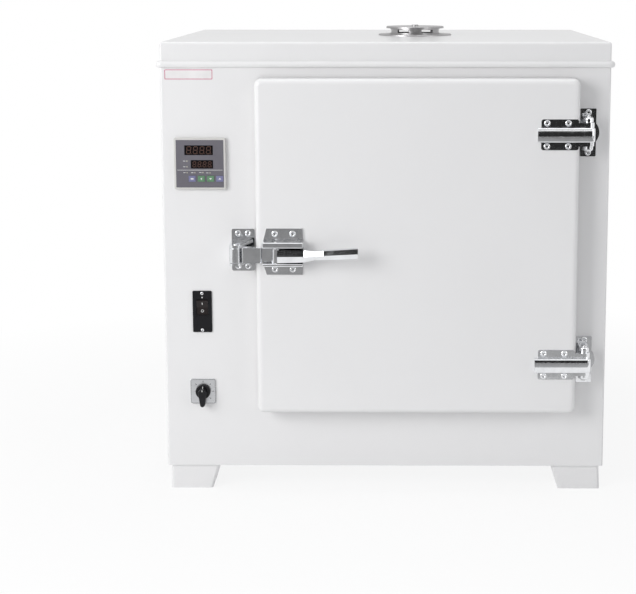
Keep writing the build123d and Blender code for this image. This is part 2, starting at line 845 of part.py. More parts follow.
# Vent base: a flange with a neck whose windows the cap's sleeve opens and closes
neck_bottom = lid_top + vent_flange_sheet
neck_top = neck_bottom + vent_neck_height
window_bottom = neck_bottom + (vent_neck_height - vent_window_height) / 2
with BuildPart() as vent_base:
    with BuildSketch(level(lid_top, x=chamber_centre_x, depth=vent_depth)):
        Circle(vent_flange_radius)
    extrude(amount=vent_flange_sheet)
    fillet(vent_base.faces().sort_by(Axis.Z)[-1].edges(), radius=vent_flange_sheet * 0.6)
    with BuildSketch(level(neck_bottom, x=chamber_centre_x, depth=vent_depth)):
        Circle(vent_neck_radius)
    extrude(amount=vent_neck_height)
    with BuildSketch(level(lid_top, x=chamber_centre_x, depth=vent_depth)):
        Circle(vent_neck_radius - vent_neck_wall)
    extrude(amount=vent_flange_sheet + vent_neck_height, mode=Mode.SUBTRACT)
    with BuildSketch(level(window_bottom, x=chamber_centre_x, depth=vent_depth)):
        with PolarLocations(vent_neck_radius, vent_windows):
            Rectangle(4 * vent_neck_wall, vent_window_width)
    extrude(amount=vent_window_height, mode=Mode.SUBTRACT)
vent_base.part.label = "vent_base"

# Vent cap: a domed disc with a sleeve inside the neck, a centre screw and a tab to turn it by
with BuildPart() as vent_cap:
    cap_bottom = neck_top + vent_clearance
    sleeve_radius = vent_neck_radius - vent_neck_wall - vent_clearance
    with BuildSketch(level(cap_bottom, x=chamber_centre_x, depth=vent_depth)):
        Circle(vent_cap_radius)
    extrude(amount=vent_cap_sheet)
    fillet(vent_cap.faces().sort_by(Axis.Z)[-1].edges(), radius=vent_cap_dome)
    with BuildSketch(level(cap_bottom, x=chamber_centre_x, depth=vent_depth)):
        with Locations((0, -vent_cap_radius + (vent_tab_overlap - vent_tab_reach) / 2)):
            Rectangle(vent_tab_width, vent_tab_reach + vent_tab_overlap)
    extrude(amount=vent_cap_sheet / 2)
    with BuildSketch(level(cap_bottom, x=chamber_centre_x, depth=vent_depth)):
        with Locations((0, -vent_cap_radius - vent_tab_reach + vent_tab_lip / 2)):
            Rectangle(vent_tab_width, vent_tab_lip)
    extrude(amount=-vent_tab_drop)
    with BuildSketch(level(cap_bottom + vent_cap_sheet, x=chamber_centre_x, depth=vent_depth)):
        Circle(vent_boss_radius)
    extrude(amount=vent_boss_height)
    fillet(vent_cap.faces().sort_by(Axis.Z)[-1].edges(), radius=vent_boss_height / 2)
    with BuildSketch(level(lid_top + vent_clearance, x=chamber_centre_x, depth=vent_depth)):
        Circle(sleeve_radius)
        Circle(sleeve_radius - vent_sleeve_wall, mode=Mode.SUBTRACT)
    extrude(amount=cap_bottom - lid_top - vent_clearance)
    with BuildSketch(level(window_bottom, x=chamber_centre_x, depth=vent_depth)):
        with PolarLocations(sleeve_radius, vent_windows):
            Rectangle(4 * vent_neck_wall, vent_window_width)
    extrude(amount=vent_window_height, mode=Mode.SUBTRACT)
vent_cap.part.label = "vent_cap"


def make_rail(name, wall_x, inward_sign):
    """Two posts on a chamber wall that carry a ledge at each shelf level."""

    def span(near, far):
        """A span of x from the wall towards the middle of the chamber."""
        return tuple(sorted((wall_x + inward_sign * near, wall_x + inward_sign * far)))

    post_span = (
        chamber_centre_z - chamber_height / 2 + rail_post_margin,
        chamber_centre_z + chamber_height / 2 - rail_post_margin,
    )
    front_post = shelf_front + rail_post_inset
    rear_post = shelf_back - rail_post_inset
    ledge_depths = (front_post - rail_ledge_overhang, rear_post + rail_ledge_overhang)
    with BuildPart() as rail:
        for post_depth in (front_post, rear_post):
            post_depths = (post_depth - rail_post_width / 2, post_depth + rail_post_width / 2)
            block(span(0, rail_post_thickness), post_depths, post_span)
        for ledge_z in ledge_levels:
            block(
                span(rail_post_thickness, rail_post_thickness + rail_sheet),
                ledge_depths,
                (ledge_z - rail_ledge_height, ledge_z),
            )
            block(
                span(rail_post_thickness, rail_post_thickness + rail_ledge_width),
                ledge_depths,
                (ledge_z - rail_sheet, ledge_z),
            )
    rail.part.label = name
    return rail.part


shelf_rail_left = make_rail("shelf_rail_left", liner_left + liner_sheet, 1)
shelf_rail_right = make_rail("shelf_rail_right", liner_right - liner_sheet, -1)


def make_shelf(name, ledge_z):
    """A welded wire shelf: a rounded frame of thick wire with thin wires across it."""
    shelf_width = chamber_width - 2 * (rail_post_thickness + shelf_side_clearance)
    frame_z = ledge_z + shelf_seat_clearance + shelf_wire_radius
    frame_width = shelf_width - 2 * shelf_wire_radius
    frame_depth = shelf_depth - 2 * shelf_wire_radius
    wire_count = int(frame_width / shelf_cross_pitch) - 1
    with BuildPart() as shelf:
        with BuildLine(level(frame_z, chamber_centre_x, shelf_front + shelf_depth / 2)) as outline:
            FilletPolyline(
                (-frame_width / 2, -frame_depth / 2),
                (frame_width / 2, -frame_depth / 2),
                (frame_width / 2, frame_depth / 2),
                (-frame_width / 2, frame_depth / 2),
                radius=shelf_corner_radius,
                close=True,
            )
        start_plane = Plane(origin=outline.line @ 0, z_dir=outline.line % 0)
        with BuildSketch(start_plane):
            Circle(shelf_wire_radius)
        sweep(path=outline.line)
        wire_z = frame_z + shelf_wire_radius
        with BuildSketch(
            face(shelf_front + shelf_wire_radius, chamber_centre_x, wire_z)
        ):
            with GridLocations(shelf_cross_pitch, 0, wire_count, 1):
                RegularPolygon(shelf_cross_radius, 8)
        extrude(amount=-frame_depth)
        for brace_depth in (shelf_front + shelf_depth / 3, shelf_front + shelf_depth * 2 / 3):
            with BuildSketch(
                side(chamber_centre_x - frame_width / 2, brace_depth, frame_z)
            ):
                RegularPolygon(shelf_brace_radius, 8)
            extrude(amount=frame_width)
    shelf.part.label = name
    return shelf.part


shelves = [make_shelf(name, ledge_levels[ledge]) for name, ledge in shelf_ledges.items()]

# Temperature probe through the left wall, with its nut on the partition
with BuildPart() as temperature_probe:
    probe_start = partition_left - probe_nut_height - probe_tail
    with BuildSketch(side(probe_start, probe_depth, probe_z)):
        Circle(probe_radius)
    extrude(amount=liner_left + liner_sheet + probe_reach - probe_start)
    with BuildSketch(side(partition_left, probe_depth, probe_z)):
        RegularPolygon(probe_nut_radius, 6)
    extrude(amount=-probe_nut_height)
temperature_probe.part.label = "temperature_probe"

# Heatsink on the partition, its fins in two groups with the relay between them
with BuildPart() as relay_heatsink:
    with BuildSketch(level(heatsink_z - heatsink_height / 2, partition_left, heatsink_depth)):
        with Locations((-heatsink_base / 2, 0)):
            Rectangle(heatsink_base, heatsink_width)
        for fin in range(heatsink_fins_each_side):
            fin_y = heatsink_width / 2 - heatsink_fin_sheet / 2 - fin * heatsink_fin_pitch
            with Locations(
                (-heatsink_base - heatsink_fin_height / 2, fin_y),
                (-heatsink_base - heatsink_fin_height / 2, -fin_y),
            ):
                Rectangle(heatsink_fin_height, heatsink_fin_sheet)
    extrude(amount=heatsink_height)
relay_heatsink.part.label = "relay_heatsink"

with BuildPart() as solid_state_relay:
    relay_back = partition_left - heatsink_base
    block(
        (relay_back - relay_thickness, relay_back),
        (heatsink_depth - relay_width / 2, heatsink_depth + relay_width / 2),
        (heatsink_z - relay_height / 2, heatsink_z + relay_height / 2),
    )
    chamfer(solid_state_relay.faces().sort_by(Axis.X)[0].edges(), length=relay_chamfer)
    with BuildSketch(side(relay_back - relay_thickness, heatsink_depth, heatsink_z)):
        with GridLocations(relay_hole_spacing_depth, relay_hole_spacing_z, 2, 2):
            Circle(relay_hole_radius)
    extrude(amount=relay_hole_depth, mode=Mode.SUBTRACT)
solid_state_relay.part.label = "solid_state_relay"

# Terminal block with a well and a screw seat for each pole
with BuildPart() as terminal_block:
    block(
        (partition_left - terminal_thickness, partition_left),
        (terminal_depth - terminal_width / 2, terminal_depth + terminal_width / 2),
        (terminal_z - terminal_height / 2, terminal_z + terminal_height / 2),
    )
    with BuildSketch(side(partition_left - terminal_thickness, terminal_depth, terminal_z)):
        with GridLocations(terminal_width / (terminal_poles + 1), 0, terminal_poles, 1):
            Rectangle(terminal_well_width, terminal_well_height)
    extrude(amount=terminal_well_depth, mode=Mode.SUBTRACT)
terminal_block.part.label = "terminal_block"


def make_foot(name, x_sign, at_front):
    """A tapered foot pressed from sheet, open at the top; its outer side is nearly upright."""
    top_half = foot_top_size / 2
    bottom_half = foot_bottom_size / 2
    outer_x = cabinet_width / 2 - foot_side_inset
    top_x = x_sign * (outer_x - top_half)
    bottom_x = x_sign * (outer_x + foot_flare - bottom_half)
    if at_front:
        top_depth = foot_front_inset + top_half
        bottom_depth = foot_front_inset + bottom_half
    else:
        top_depth = cabinet_depth - foot_front_inset - top_half
        bottom_depth = cabinet_depth - foot_front_inset - bottom_half
    with BuildPart() as foot:
        for inset, base, mode in ((0.0, 0.0, Mode.ADD), (foot_sheet, foot_sheet, Mode.SUBTRACT)):
            with BuildSketch(level(foot_height, top_x, top_depth)):
                RectangleRounded(
                    foot_top_size - 2 * inset,
                    foot_top_size - 2 * inset,
                    foot_corner_radius - inset,
                )
            with BuildSketch(level(base, bottom_x, bottom_depth)):
                RectangleRounded(
                    foot_bottom_size - 2 * inset,
                    foot_bottom_size - 2 * inset,
                    foot_corner_radius - inset,
                )
            loft(mode=mode)
    foot.part.label = name
    return foot.part


feet = [
    make_foot("foot_front_left", -1, True),
    make_foot("foot_front_right", 1, True),
    make_foot("foot_rear_left", -1, False),
    make_foot("foot_rear_right", 1, False),
]

# Door skin: a tray with rounded corners and edges, open at the back
door_spans = ((door_left, door_right), (-door_front, -door_gap), (door_bottom, door_top))


def door_solid(inset, corner_radius, edge_radius, edge_round=True):
    """The door's form, drawn in from all sides but the back."""
    spans = (
        (door_spans[0][0] + inset, door_spans[0][1] - inset),
        (door_spans[1][0] + min(inset, door_sheet), door_spans[1][1]),
        (door_spans[2][0] + inset, door_spans[2][1] - inset),
    )
    with BuildPart() as solid:
        block(*spans)
        fillet(solid.edges().filter_by(Axis.Y), radius=corner_radius)
        front_rim = solid.faces().sort_by(Axis.Y)[0].edges()
        if edge_round:
            fillet(front_rim, radius=edge_radius)
        else:
            chamfer(front_rim, length=edge_radius)
    return solid.part


with BuildPart() as door_skin:
    add(door_solid(0.0, door_corner_radius, door_edge_radius))
    add(
        door_solid(
            door_sheet,
            door_corner_radius - door_sheet,
            door_edge_radius - door_sheet,
        ),
        mode=Mode.SUBTRACT,
    )
door_skin.part.label = "door_skin"

# Inner panel: it closes the tray and carries the plug that fits the mouth
panel_width = door_width - 2 * door_sheet
panel_height = door_height - 2 * door_sheet
plug_width = chamber_width - 2 * plug_clearance
plug_height = chamber_height - 2 * plug_clearance
panel_front = -door_gap - door_sheet
with BuildPart() as door_inner_panel:
    with BuildSketch(face(-door_gap, chamber_centre_x, chamber_centre_z)):
        RectangleRounded(panel_width, panel_height, door_corner_radius - door_sheet)
    extrude(amount=door_sheet)
    with BuildSketch(face(-door_gap, chamber_centre_x, chamber_centre_z)):
        RectangleRounded(plug_width, plug_height, plug_corner_radius)
    extrude(amount=-(plug_depth + door_gap))
    fillet(door_inner_panel.faces().sort_by(Axis.Y)[-1].edges(), radius=plug_edge_radius)
    with BuildSketch(face(panel_front, chamber_centre_x, chamber_centre_z)):
        RectangleRounded(
            plug_width - 2 * door_sheet,
            plug_height - 2 * door_sheet,
            plug_corner_radius - door_sheet,
        )
    extrude(amount=-(plug_depth - panel_front - door_sheet), mode=Mode.SUBTRACT)
door_inner_panel.part.label = "door_inner_panel"

with BuildPart() as door_insulation:
    add(door_solid(door_sheet + insulation_inset, door_corner_radius, insulation_chamfer, False))
    block(
        (door_spans[0][0], door_spans[0][1]),
        (panel_front, -door_gap),
        (door_spans[2][0], door_spans[2][1]),
        mode=Mode.SUBTRACT,
    )
    with BuildSketch(face(panel_front, chamber_centre_x, chamber_centre_z)):
        RectangleRounded(
            plug_width - 2 * door_sheet,
            plug_height - 2 * door_sheet,
            plug_corner_radius,
        )
    extrude(amount=-(plug_depth - panel_front - door_sheet))
door_insulation.part.label = "door_insulation"

# Silicone gasket on the inner panel, round the mouth
with BuildPart() as door_gasket:
    gasket_inner = 2 * gasket_inset
    gasket_outer = 2 * (gasket_inset + gasket_width)
    with BuildSketch(face(-door_gap, chamber_centre_x, chamber_centre_z)):
        RectangleRounded(
            chamber_width + gasket_outer,
            chamber_height + gasket_outer,
            chamber_corner_radius + gasket_inset + gasket_width,
        )
        RectangleRounded(
            chamber_width + gasket_inner,
            chamber_height + gasket_inner,
            chamber_corner_radius + gasket_inset,
            mode=Mode.SUBTRACT,
        )
    extrude(amount=-(door_gap - seal_clearance))
door_gasket.part.label = "door_gasket"


def screw(depth, x, z, shank_length):
    """A countersunk screw with a cross recess, its head flush with a plane that faces the viewer."""
    head_end = depth + screw_head_height
    with BuildPart() as one:
        with BuildSketch(face(depth, x, z)):
            Circle(screw_head_radius)
        with BuildSketch(face(head_end, x, z)):
            Circle(screw_shank_radius)
        loft()
        rod(head_end, depth + shank_length, x, z, screw_shank_radius)
        with BuildSketch(face(depth, x, z)):
            Rectangle(screw_recess_length, screw_recess_width)
            Rectangle(screw_recess_width, screw_recess_length)
        extrude(amount=-screw_recess_depth, mode=Mode.SUBTRACT)
    return one.part


def countersink(depth, x, z, through):
    """The hole for such a screw, as a tool to be cut away."""
    head_end = depth + screw_head_height
    with BuildPart() as hole:
        with BuildSketch(face(depth, x, z)):
            Circle(screw_head_radius)
        with BuildSketch(face(head_end, x, z)):
            Circle(screw_shank_radius)
        loft()
        rod(head_end, depth + through, x, z, screw_shank_radius)
    return hole.part


strap_screw_xs = (strap_left + strap_screw_inset, strap_left + strap_screw_inset + strap_screw_pitch)
strap_front = -door_front - strap_sheet
bracket_x = hinge_pin_x + bracket_offset


def strap_screw_places(centre_z):
    """Centres of the four screws of a hinge strap, as x and z."""
    rises = (-strap_screw_spacing / 2, strap_screw_spacing / 2)
    return [(x, centre_z + rise) for x in strap_screw_xs for rise in rises]


def make_rib(centre_z):
    """The crowned rib of a hinge strap, which turns round the barrel at its right end."""
    half_height = rib_height / 2
    side_depth = -door_front - rib_proud + rib_crown
    with BuildPart() as rib:
        with BuildSketch(side(strap_left - rib_overhang, 0, centre_z)):
            with BuildLine():
                Polyline(
                    (side_depth, half_height),
                    (-door_front, half_height),
                    (-door_front, -half_height),
                    (side_depth, -half_height),
                )
                ThreePointArc(
                    (side_depth, -half_height),
                    (side_depth - rib_crown, 0),
                    (side_depth, half_height),
                )
            make_face()
        extrude(amount=hinge_pin_x + barrel_radius - strap_left + rib_overhang)
        crown = rib.faces().sort_by(Axis.Y)[0]
        fillet(crown.edges().sort_by(Axis.X)[-1], radius=barrel_radius - rib_edge_radius)
        fillet(rib.edges().filter_by(Axis.X).group_by(Axis.Y)[0], radius=rib_edge_radius)
    return rib.part


def make_strap(name, centre_z):
    """A hinge strap: a flange on the door, a raised rib and a barrel round the pin."""
    barrel_span = (centre_z - barrel_height / 2, centre_z + barrel_height / 2)
    pin_depth = -hinge_pin_proud
    rib = make_rib(centre_z)
    with BuildPart() as strap:
        with BuildSketch(face(-door_front, (strap_left + strap_right) / 2, centre_z)):
            RectangleRounded(strap_right - strap_left, strap_height, strap_corner_radius)
        extrude(amount=strap_sheet)
        with BuildSketch(level(barrel_span[0])):
            with BuildLine():
                Polyline(
                    (strap_right - strap_web_inset, -door_front),
                    (strap_right - strap_web_inset, strap_front),
                    (hinge_pin_x, strap_front),
                )
                RadiusArc(
                    (hinge_pin_x, strap_front),
                    (hinge_pin_x + barrel_radius, strap_front + barrel_radius),
                    -barrel_radius,
                )
                Line(
                    (hinge_pin_x + barrel_radius, strap_front + barrel_radius),
                    (hinge_pin_x + barrel_radius, pin_depth),
                )
                ThreePointArc(
                    (hinge_pin_x + barrel_radius, pin_depth),
                    (hinge_pin_x, pin_depth + barrel_radius),
                    (hinge_pin_x - barrel_radius, pin_depth),
                )
                Polyline(
                    (hinge_pin_x - barrel_radius, pin_depth),
                    (hinge_pin_x - barrel_radius, -door_front),
                    (strap_right - strap_web_inset, -door_front),
                )
            make_face()
        extrude(amount=barrel_height)
        add(rib)
        with BuildSketch(level(barrel_span[0], hinge_pin_x, pin_depth)):
            Circle(hinge_pin_radius + hinge_pin_clearance)
        extrude(amount=barrel_height, mode=Mode.SUBTRACT)
        for x, z in strap_screw_places(centre_z):
            add(countersink(strap_front, x, z, strap_sheet), mode=Mode.SUBTRACT)
    strap.part.label = name
    return strap.part


def make_knuckle(centre_z, sign):
    """A round knuckle, domed at its outer end, above or below a hinge's barrel."""
    middle_z = centre_z + sign * (barrel_height / 2 + knuckle_clearance + knuckle_height / 2)
    with BuildPart() as knuckle:
        with Locations((hinge_pin_x, front_y - hinge_pin_proud, middle_z)):
            Cylinder(knuckle_radius, knuckle_height)
        outer_face = knuckle.faces().sort_by(Axis.Z)[-1 if sign > 0 else 0]
        fillet(outer_face.edges(), radius=knuckle_dome_radius)
    return knuckle.part


def make_bracket(name, centre_z):
    """A hinge bracket: a plate on the cabinet and two knuckles that hold the pin."""
    knuckles = {sign: make_knuckle(centre_z, sign) for sign in (-1, 1)}
    with BuildPart() as bracket:
        with BuildSketch(face(0, bracket_x, centre_z)):
            RectangleRounded(bracket_width, bracket_height, bracket_corner_radius)
            lobe_x = bracket_width / 2 + bracket_lobe_reach - bracket_lobe_radius
            with Locations((lobe_x, 0)):
                Circle(bracket_lobe_radius)
            with Locations((-bracket_width, 0)):
                Rectangle(bracket_width, bracket_height, mode=Mode.SUBTRACT)
        extrude(amount=bracket_sheet)
        for sign, knuckle in knuckles.items():
            inner_z = centre_z + sign * (barrel_height / 2 + knuckle_clearance)
            outer_z = inner_z + sign * knuckle_height
            z_span = tuple(sorted((inner_z, outer_z)))
            block(
                (hinge_pin_x - knuckle_radius, hinge_pin_x + knuckle_radius),
                (-hinge_pin_proud, -bracket_sheet),
                z_span,
            )
            add(knuckle)
        with Locations((hinge_pin_x, front_y - hinge_pin_proud, centre_z)):
            Cylinder(hinge_pin_radius, bracket_height, mode=Mode.SUBTRACT)
        for rise in (-bracket_screw_spacing / 2, bracket_screw_spacing / 2):
            hole = countersink(-bracket_sheet, bracket_x, centre_z + rise, bracket_sheet)
            add(hole, mode=Mode.SUBTRACT)
    bracket.part.label = name
    return bracket.part


straps = [make_strap(f"hinge_strap_{place}", z) for place, z in hinge_heights.items()]
brackets = [make_bracket(f"hinge_bracket_{place}", z) for place, z in hinge_heights.items()]

# Hinge pins, domed at both ends, one in each hinge
pin_length = barrel_height + 2 * (knuckle_clearance + knuckle_height + hinge_pin_end)
with BuildPart() as hinge_pins:
    for pin_z in hinge_heights.values():
        with Locations((hinge_pin_x, front_y - hinge_pin_proud, pin_z)):
            Cylinder(hinge_pin_radius, pin_length)
    fillet(hinge_pins.edges().filter_by(GeomType.CIRCLE), radius=hinge_pin_radius * 0.6)
hinge_pins.part.label = "hinge_pins"

# Latch base on the door: a six-sided plate and two cheeks that hold the handle and the tongue
plate_right = latch_plate_left + latch_plate_width
cheek_spans = (
    (latch_z - housing_bottom, latch_z - cheek_gap / 2),
    (latch_z + cheek_gap / 2, latch_z + housing_top),
)
latch_screw_places = [
    (latch_screw_x + side_x * latch_screw_pitch / 2, latch_screw_z + rise * latch_screw_spacing / 2)
    for side_x in (-1, 1)
    for rise in (-1, 1)
]
latch_plate_front = -door_front - latch_plate_sheet


def make_cheek(z_span):
    """One of the two cheeks that stand on the latch's plate."""
    with BuildPart() as cheek:
        block(
            (latch_plate_left, plate_right),
            (-door_front - housing_proud, latch_plate_front),
            z_span,
        )
        fillet(cheek.faces().sort_by(Axis.Y)[0].edges(), radius=housing_edge_radius)
    return cheek.part


cheeks = [make_cheek(z_span) for z_span in cheek_spans]
with BuildPart() as latch_base:
    with BuildSketch(face(-door_front, 0, latch_z)):
        with BuildLine():
            Polyline(
                (latch_plate_left + latch_plate_taper, latch_plate_top),
                (plate_right - latch_plate_right_taper, latch_plate_top),
                (plate_right, housing_top),
                (plate_right, -housing_bottom),
                (plate_right - latch_plate_right_taper, -latch_plate_bottom),
                (latch_plate_left + latch_plate_taper, -latch_plate_bottom),
                (latch_plate_left, -housing_bottom),
                (latch_plate_left, housing_top),
                close=True,
            )
        make_face()
    extrude(amount=latch_plate_sheet)
    add(cheeks)
    with Locations((latch_pin_x, front_y - door_front - latch_pin_proud, latch_z)):
        Cylinder(latch_pin_radius, 2 * latch_plate_top, mode=Mode.SUBTRACT)
    for x, z in latch_screw_places:
        add(countersink(latch_plate_front, x, z, latch_plate_sheet), mode=Mode.SUBTRACT)
latch_base.part.label = "latch_base"

# Latch pin through both cheeks
with BuildPart() as latch_pin:
    pin_bottom = cheek_spans[0][0] - latch_pin_end
    with BuildSketch(level(pin_bottom, latch_pin_x, -door_front - latch_pin_proud)):
        Circle(latch_pin_radius)
    extrude(amount=housing_top + housing_bottom + 2 * latch_pin_end)
    fillet(latch_pin.edges().filter_by(GeomType.CIRCLE), radius=latch_pin_dome)
latch_pin.part.label = "latch_pin"

# Latch handle: a barrel on the pin, a finger that drives the tongue and a ridged, cranked lever
# Each lever section: reach from the pin, rise of its middle, height, gap behind it and thickness
lever_sections = (
    (handle_root_start, -handle_root_drop, handle_root_height, handle_root_gap, handle_grip_thickness),
    (
        handle_shoulder_reach,
        -handle_root_drop / 2,
        handle_root_height - handle_edge,
        handle_root_gap + handle_bevel,
        handle_grip_thickness,
    ),
    (
        handle_waist_reach,
        handle_rise / 5,
        handle_waist_height,
        handle_waist_gap,
        handle_grip_thickness - handle_bevel,
    ),
    (
        handle_grip_start,
        handle_rise / 2,
        (handle_waist_height + handle_grip_height) / 2,
        handle_grip_gap - handle_edge,
        handle_grip_thickness,
    ),
    (handle_reach, handle_rise, handle_grip_height, handle_grip_gap, handle_grip_thickness),
)
with BuildPart() as latch_handle:
    for reach, rise, height, gap, thickness in lever_sections:
        back = -gap
        front = -gap - thickness
        with BuildSketch(side(latch_pin_x + reach, -door_front, latch_z + rise)):
            Polygon(
                (back, height / 2 - handle_edge),
                (back - handle_edge, height / 2),
                (front, height / 2 - handle_bevel),
                (front - handle_ridge, 0),
                (front, -height / 2 + handle_bevel),
                (back - handle_edge, -height / 2),
                (back, -height / 2 + handle_edge),
                align=None,
            )
    loft(ruled=True)
    pin_plane = level(latch_z - handle_root_height / 2, latch_pin_x, -door_front - latch_pin_proud)
    with BuildSketch(pin_plane):
        Circle(handle_barrel_radius)
    extrude(amount=handle_root_height)
    finger_height = handle_root_height / 2
    with BuildSketch(
        level(latch_z - finger_height / 2, latch_pin_x, -door_front - latch_pin_proud)
    ):
        with Locations((0, finger_length / 2)):
            Rectangle(finger_width, finger_length)
    extrude(amount=finger_height)
    with BuildSketch(pin_plane):
        Circle(latch_pin_radius + latch_pin_clearance)
    extrude(amount=handle_root_height, mode=Mode.SUBTRACT)
latch_handle.part.label = "latch_handle"

# Latch tongue: a bar that slides behind the handle's barrel, with a thick tip beside the keeper
tongue_left = roller_x + roller_radius + keeper_clearance
tongue_right = latch_pin_x + tongue_slot_width / 2 + tongue_tail
tongue_back = -door_front - latch_plate_sheet - seal_clearance
with BuildPart() as latch_tongue:
    block(
        (tongue_left, tongue_left + tongue_tip_width),
        (-door_front - tongue_tip_proud, tongue_back),
        (latch_z - tongue_height / 2, latch_z + tongue_height / 2),
    )
    tip_edges = latch_tongue.edges().filter_by(Axis.Z).group_by(Axis.Y)[0]
    fillet(tip_edges, radius=tongue_edge_radius)
    block(
        (tongue_left + tongue_step, tongue_right),
        (tongue_back - tongue_bar_thickness, tongue_back),
        (latch_z - tongue_height / 2, latch_z + tongue_height / 2),
    )
    with BuildSketch(face(-door_front, latch_pin_x, latch_z)):
        Rectangle(tongue_slot_width, finger_height + 2 * tongue_slot_clearance)
    extrude(amount=housing_proud, mode=Mode.SUBTRACT)
latch_tongue.part.label = "latch_tongue"

# Keeper on the cabinet: a plate, two ears joined by a web, and the roller's pin between them
ear_near = roller_height / 2 + roller_end_clearance
keeper_left = keeper_plate_x - keeper_plate_width / 2
keeper_right = keeper_plate_x + keeper_plate_width / 2
keeper_screw_places = [
    (
        keeper_plate_x + side_x * keeper_screw_pitch / 2,
        keeper_plate_z + rise * keeper_screw_spacing / 2,
    )
    for side_x in (-1, 1)
    for rise in (-1, 1)
]
with BuildPart() as keeper_bracket:
    with BuildSketch(face(0, keeper_plate_x, keeper_plate_z)):
        RectangleRounded(keeper_plate_width, keeper_plate_height, keeper_corner_radius)
    extrude(amount=keeper_plate_sheet)
    for sign in (-1, 1):
        with BuildSketch(level(latch_z + sign * ear_near)):
            with BuildLine():
                Polyline(
                    (keeper_right - keeper_ear_inset, -keeper_plate_sheet),
                    (keeper_left, -keeper_plate_sheet),
                    (roller_x - roller_radius, -roller_proud),
                )
                ThreePointArc(
                    (roller_x - roller_radius, -roller_proud),
                    (roller_x, -roller_proud - roller_radius),
                    (roller_x + roller_radius, -roller_proud),
                )
                Line(
                    (roller_x + roller_radius, -roller_proud),
                    (keeper_right - keeper_ear_inset, -keeper_plate_sheet),
                )
            make_face()
        extrude(amount=sign * keeper_ear_thickness)
    block(
        (keeper_left, keeper_left + keeper_ear_thickness),
        (-roller_proud + roller_radius + keeper_web_clearance, -keeper_plate_sheet),
        (latch_z - ear_near, latch_z + ear_near),
    )
    roller_pin_half = ear_near + keeper_ear_thickness + roller_pin_end
    with BuildSketch(level(latch_z - roller_pin_half, roller_x, -roller_proud)):
        Circle(roller_pin_radius)
    extrude(amount=2 * roller_pin_half)
    for x, z in keeper_screw_places:
        hole = countersink(-keeper_plate_sheet, x, z, keeper_plate_sheet)
        add(hole, mode=Mode.SUBTRACT)
keeper_bracket.part.label = "keeper_bracket"

with BuildPart() as keeper_roller:
    with BuildSketch(level(latch_z - roller_height / 2, roller_x, -roller_proud)):
        Circle(roller_radius)
    extrude(amount=roller_height)
    fillet(keeper_roller.edges().filter_by(GeomType.CIRCLE), radius=roller_edge_radius)
    with BuildSketch(level(latch_z - roller_height / 2, roller_x, -roller_proud)):
        Circle(roller_pin_radius + roller_clearance)
    extrude(amount=roller_height, mode=Mode.SUBTRACT)
keeper_roller.part.label = "keeper_roller"

# Screws that hold the hinge brackets, the keeper and the breaker plate to the cabinet
breaker_screw_zs = (breaker_z - breaker_screw_spacing / 2, breaker_z + breaker_screw_spacing / 2)


def pan_screw(depth, x, z):
    """The head of a pan screw that stands on a plane facing the viewer."""
    with BuildPart() as head:
        rod(depth - pan_head_height, depth, x, z, pan_head_radius)
        fillet(head.faces().sort_by(Axis.Y)[0].edges(), radius=pan_head_height * 0.6)
    return head.part


with BuildPart() as cabinet_screws:
    for centre_z in hinge_heights.values():
        for rise in (-bracket_screw_spacing / 2, bracket_screw_spacing / 2):
            add(screw(-bracket_sheet, bracket_x, centre_z + rise, bracket_sheet + sheet))
    for x, z in keeper_screw_places:
        add(screw(-keeper_plate_sheet, x, z, keeper_plate_sheet + sheet))
    for z in breaker_screw_zs:
        add(pan_screw(-breaker_plate_sheet, breaker_x, z))
cabinet_screws.part.label = "cabinet_screws"

# Screws that hold the hinge straps and the latch to the door
with BuildPart() as door_screws:
    for centre_z in hinge_heights.values():
        for x, z in strap_screw_places(centre_z):
            add(screw(strap_front, x, z, strap_sheet + door_sheet))
    for x, z in latch_screw_places:
        add(screw(latch_plate_front, x, z, latch_plate_sheet + door_sheet))
door_screws.part.label = "door_screws"

# Temperature controller: a case through the panel with a square bezel and a recess for its face
face_back = -controller_proud + controller_recess
face_front = face_back - controller_face_sheet
face_size = controller_size - 2 * controller_rim
key_back = face_front - key_proud + key_thickness
key_pocket_depth = key_back - face_back + key_travel + key_clearance
key_xs = list(key_places.values())
with BuildPart() as controller_case:
    with BuildSketch(face(0, controller_x, controller_z)):
        RectangleRounded(controller_size, controller_size, controller_corner_radius)
    extrude(amount=controller_proud)
    fillet(controller_case.faces().sort_by(Axis.Y)[0].edges(), radius=controller_edge_radius)
    with BuildSketch(face(0, controller_x, controller_z)):
        Rectangle(controller_case_size, controller_case_size)
    extrude(amount=-controller_case_depth)
    with BuildSketch(face(-controller_proud, controller_x, controller_z)):
        Rectangle(face_size, face_size)
    extrude(amount=-controller_recess, mode=Mode.SUBTRACT)
    key_pocket_width = key_xs[-1] - key_xs[0] + key_width + 2 * key_pocket_margin
    with BuildSketch(face(face_back, controller_x, controller_z)):
        with Locations(((key_xs[0] + key_xs[-1]) / 2, key_z)):
            Rectangle(key_pocket_width, key_height + 2 * key_pocket_margin)
    extrude(amount=-key_pocket_depth, mode=Mode.SUBTRACT)
controller_case.part.label = "controller_case"

# Controller face: recessed display windows and openings for the keys
with BuildPart() as controller_front:
    with BuildSketch(face(face_back, controller_x, controller_z)):
        Rectangle(face_size, face_size)
        for key_x in key_xs:
            with Locations((key_x, key_z)):
                Rectangle(
                    key_width + 2 * key_clearance,
                    key_height + 2 * key_clearance,
                    mode=Mode.SUBTRACT,
                )
    extrude(amount=controller_face_sheet)
    with BuildSketch(face(face_front, controller_x, controller_z)):
        for window_x, window_z, window_width, window_height in (upper_display, lower_display):
            with Locations((window_x, window_z)):
                Rectangle(window_width, window_height)
    extrude(amount=-display_recess, mode=Mode.SUBTRACT)
controller_front.part.label = "controller_front"


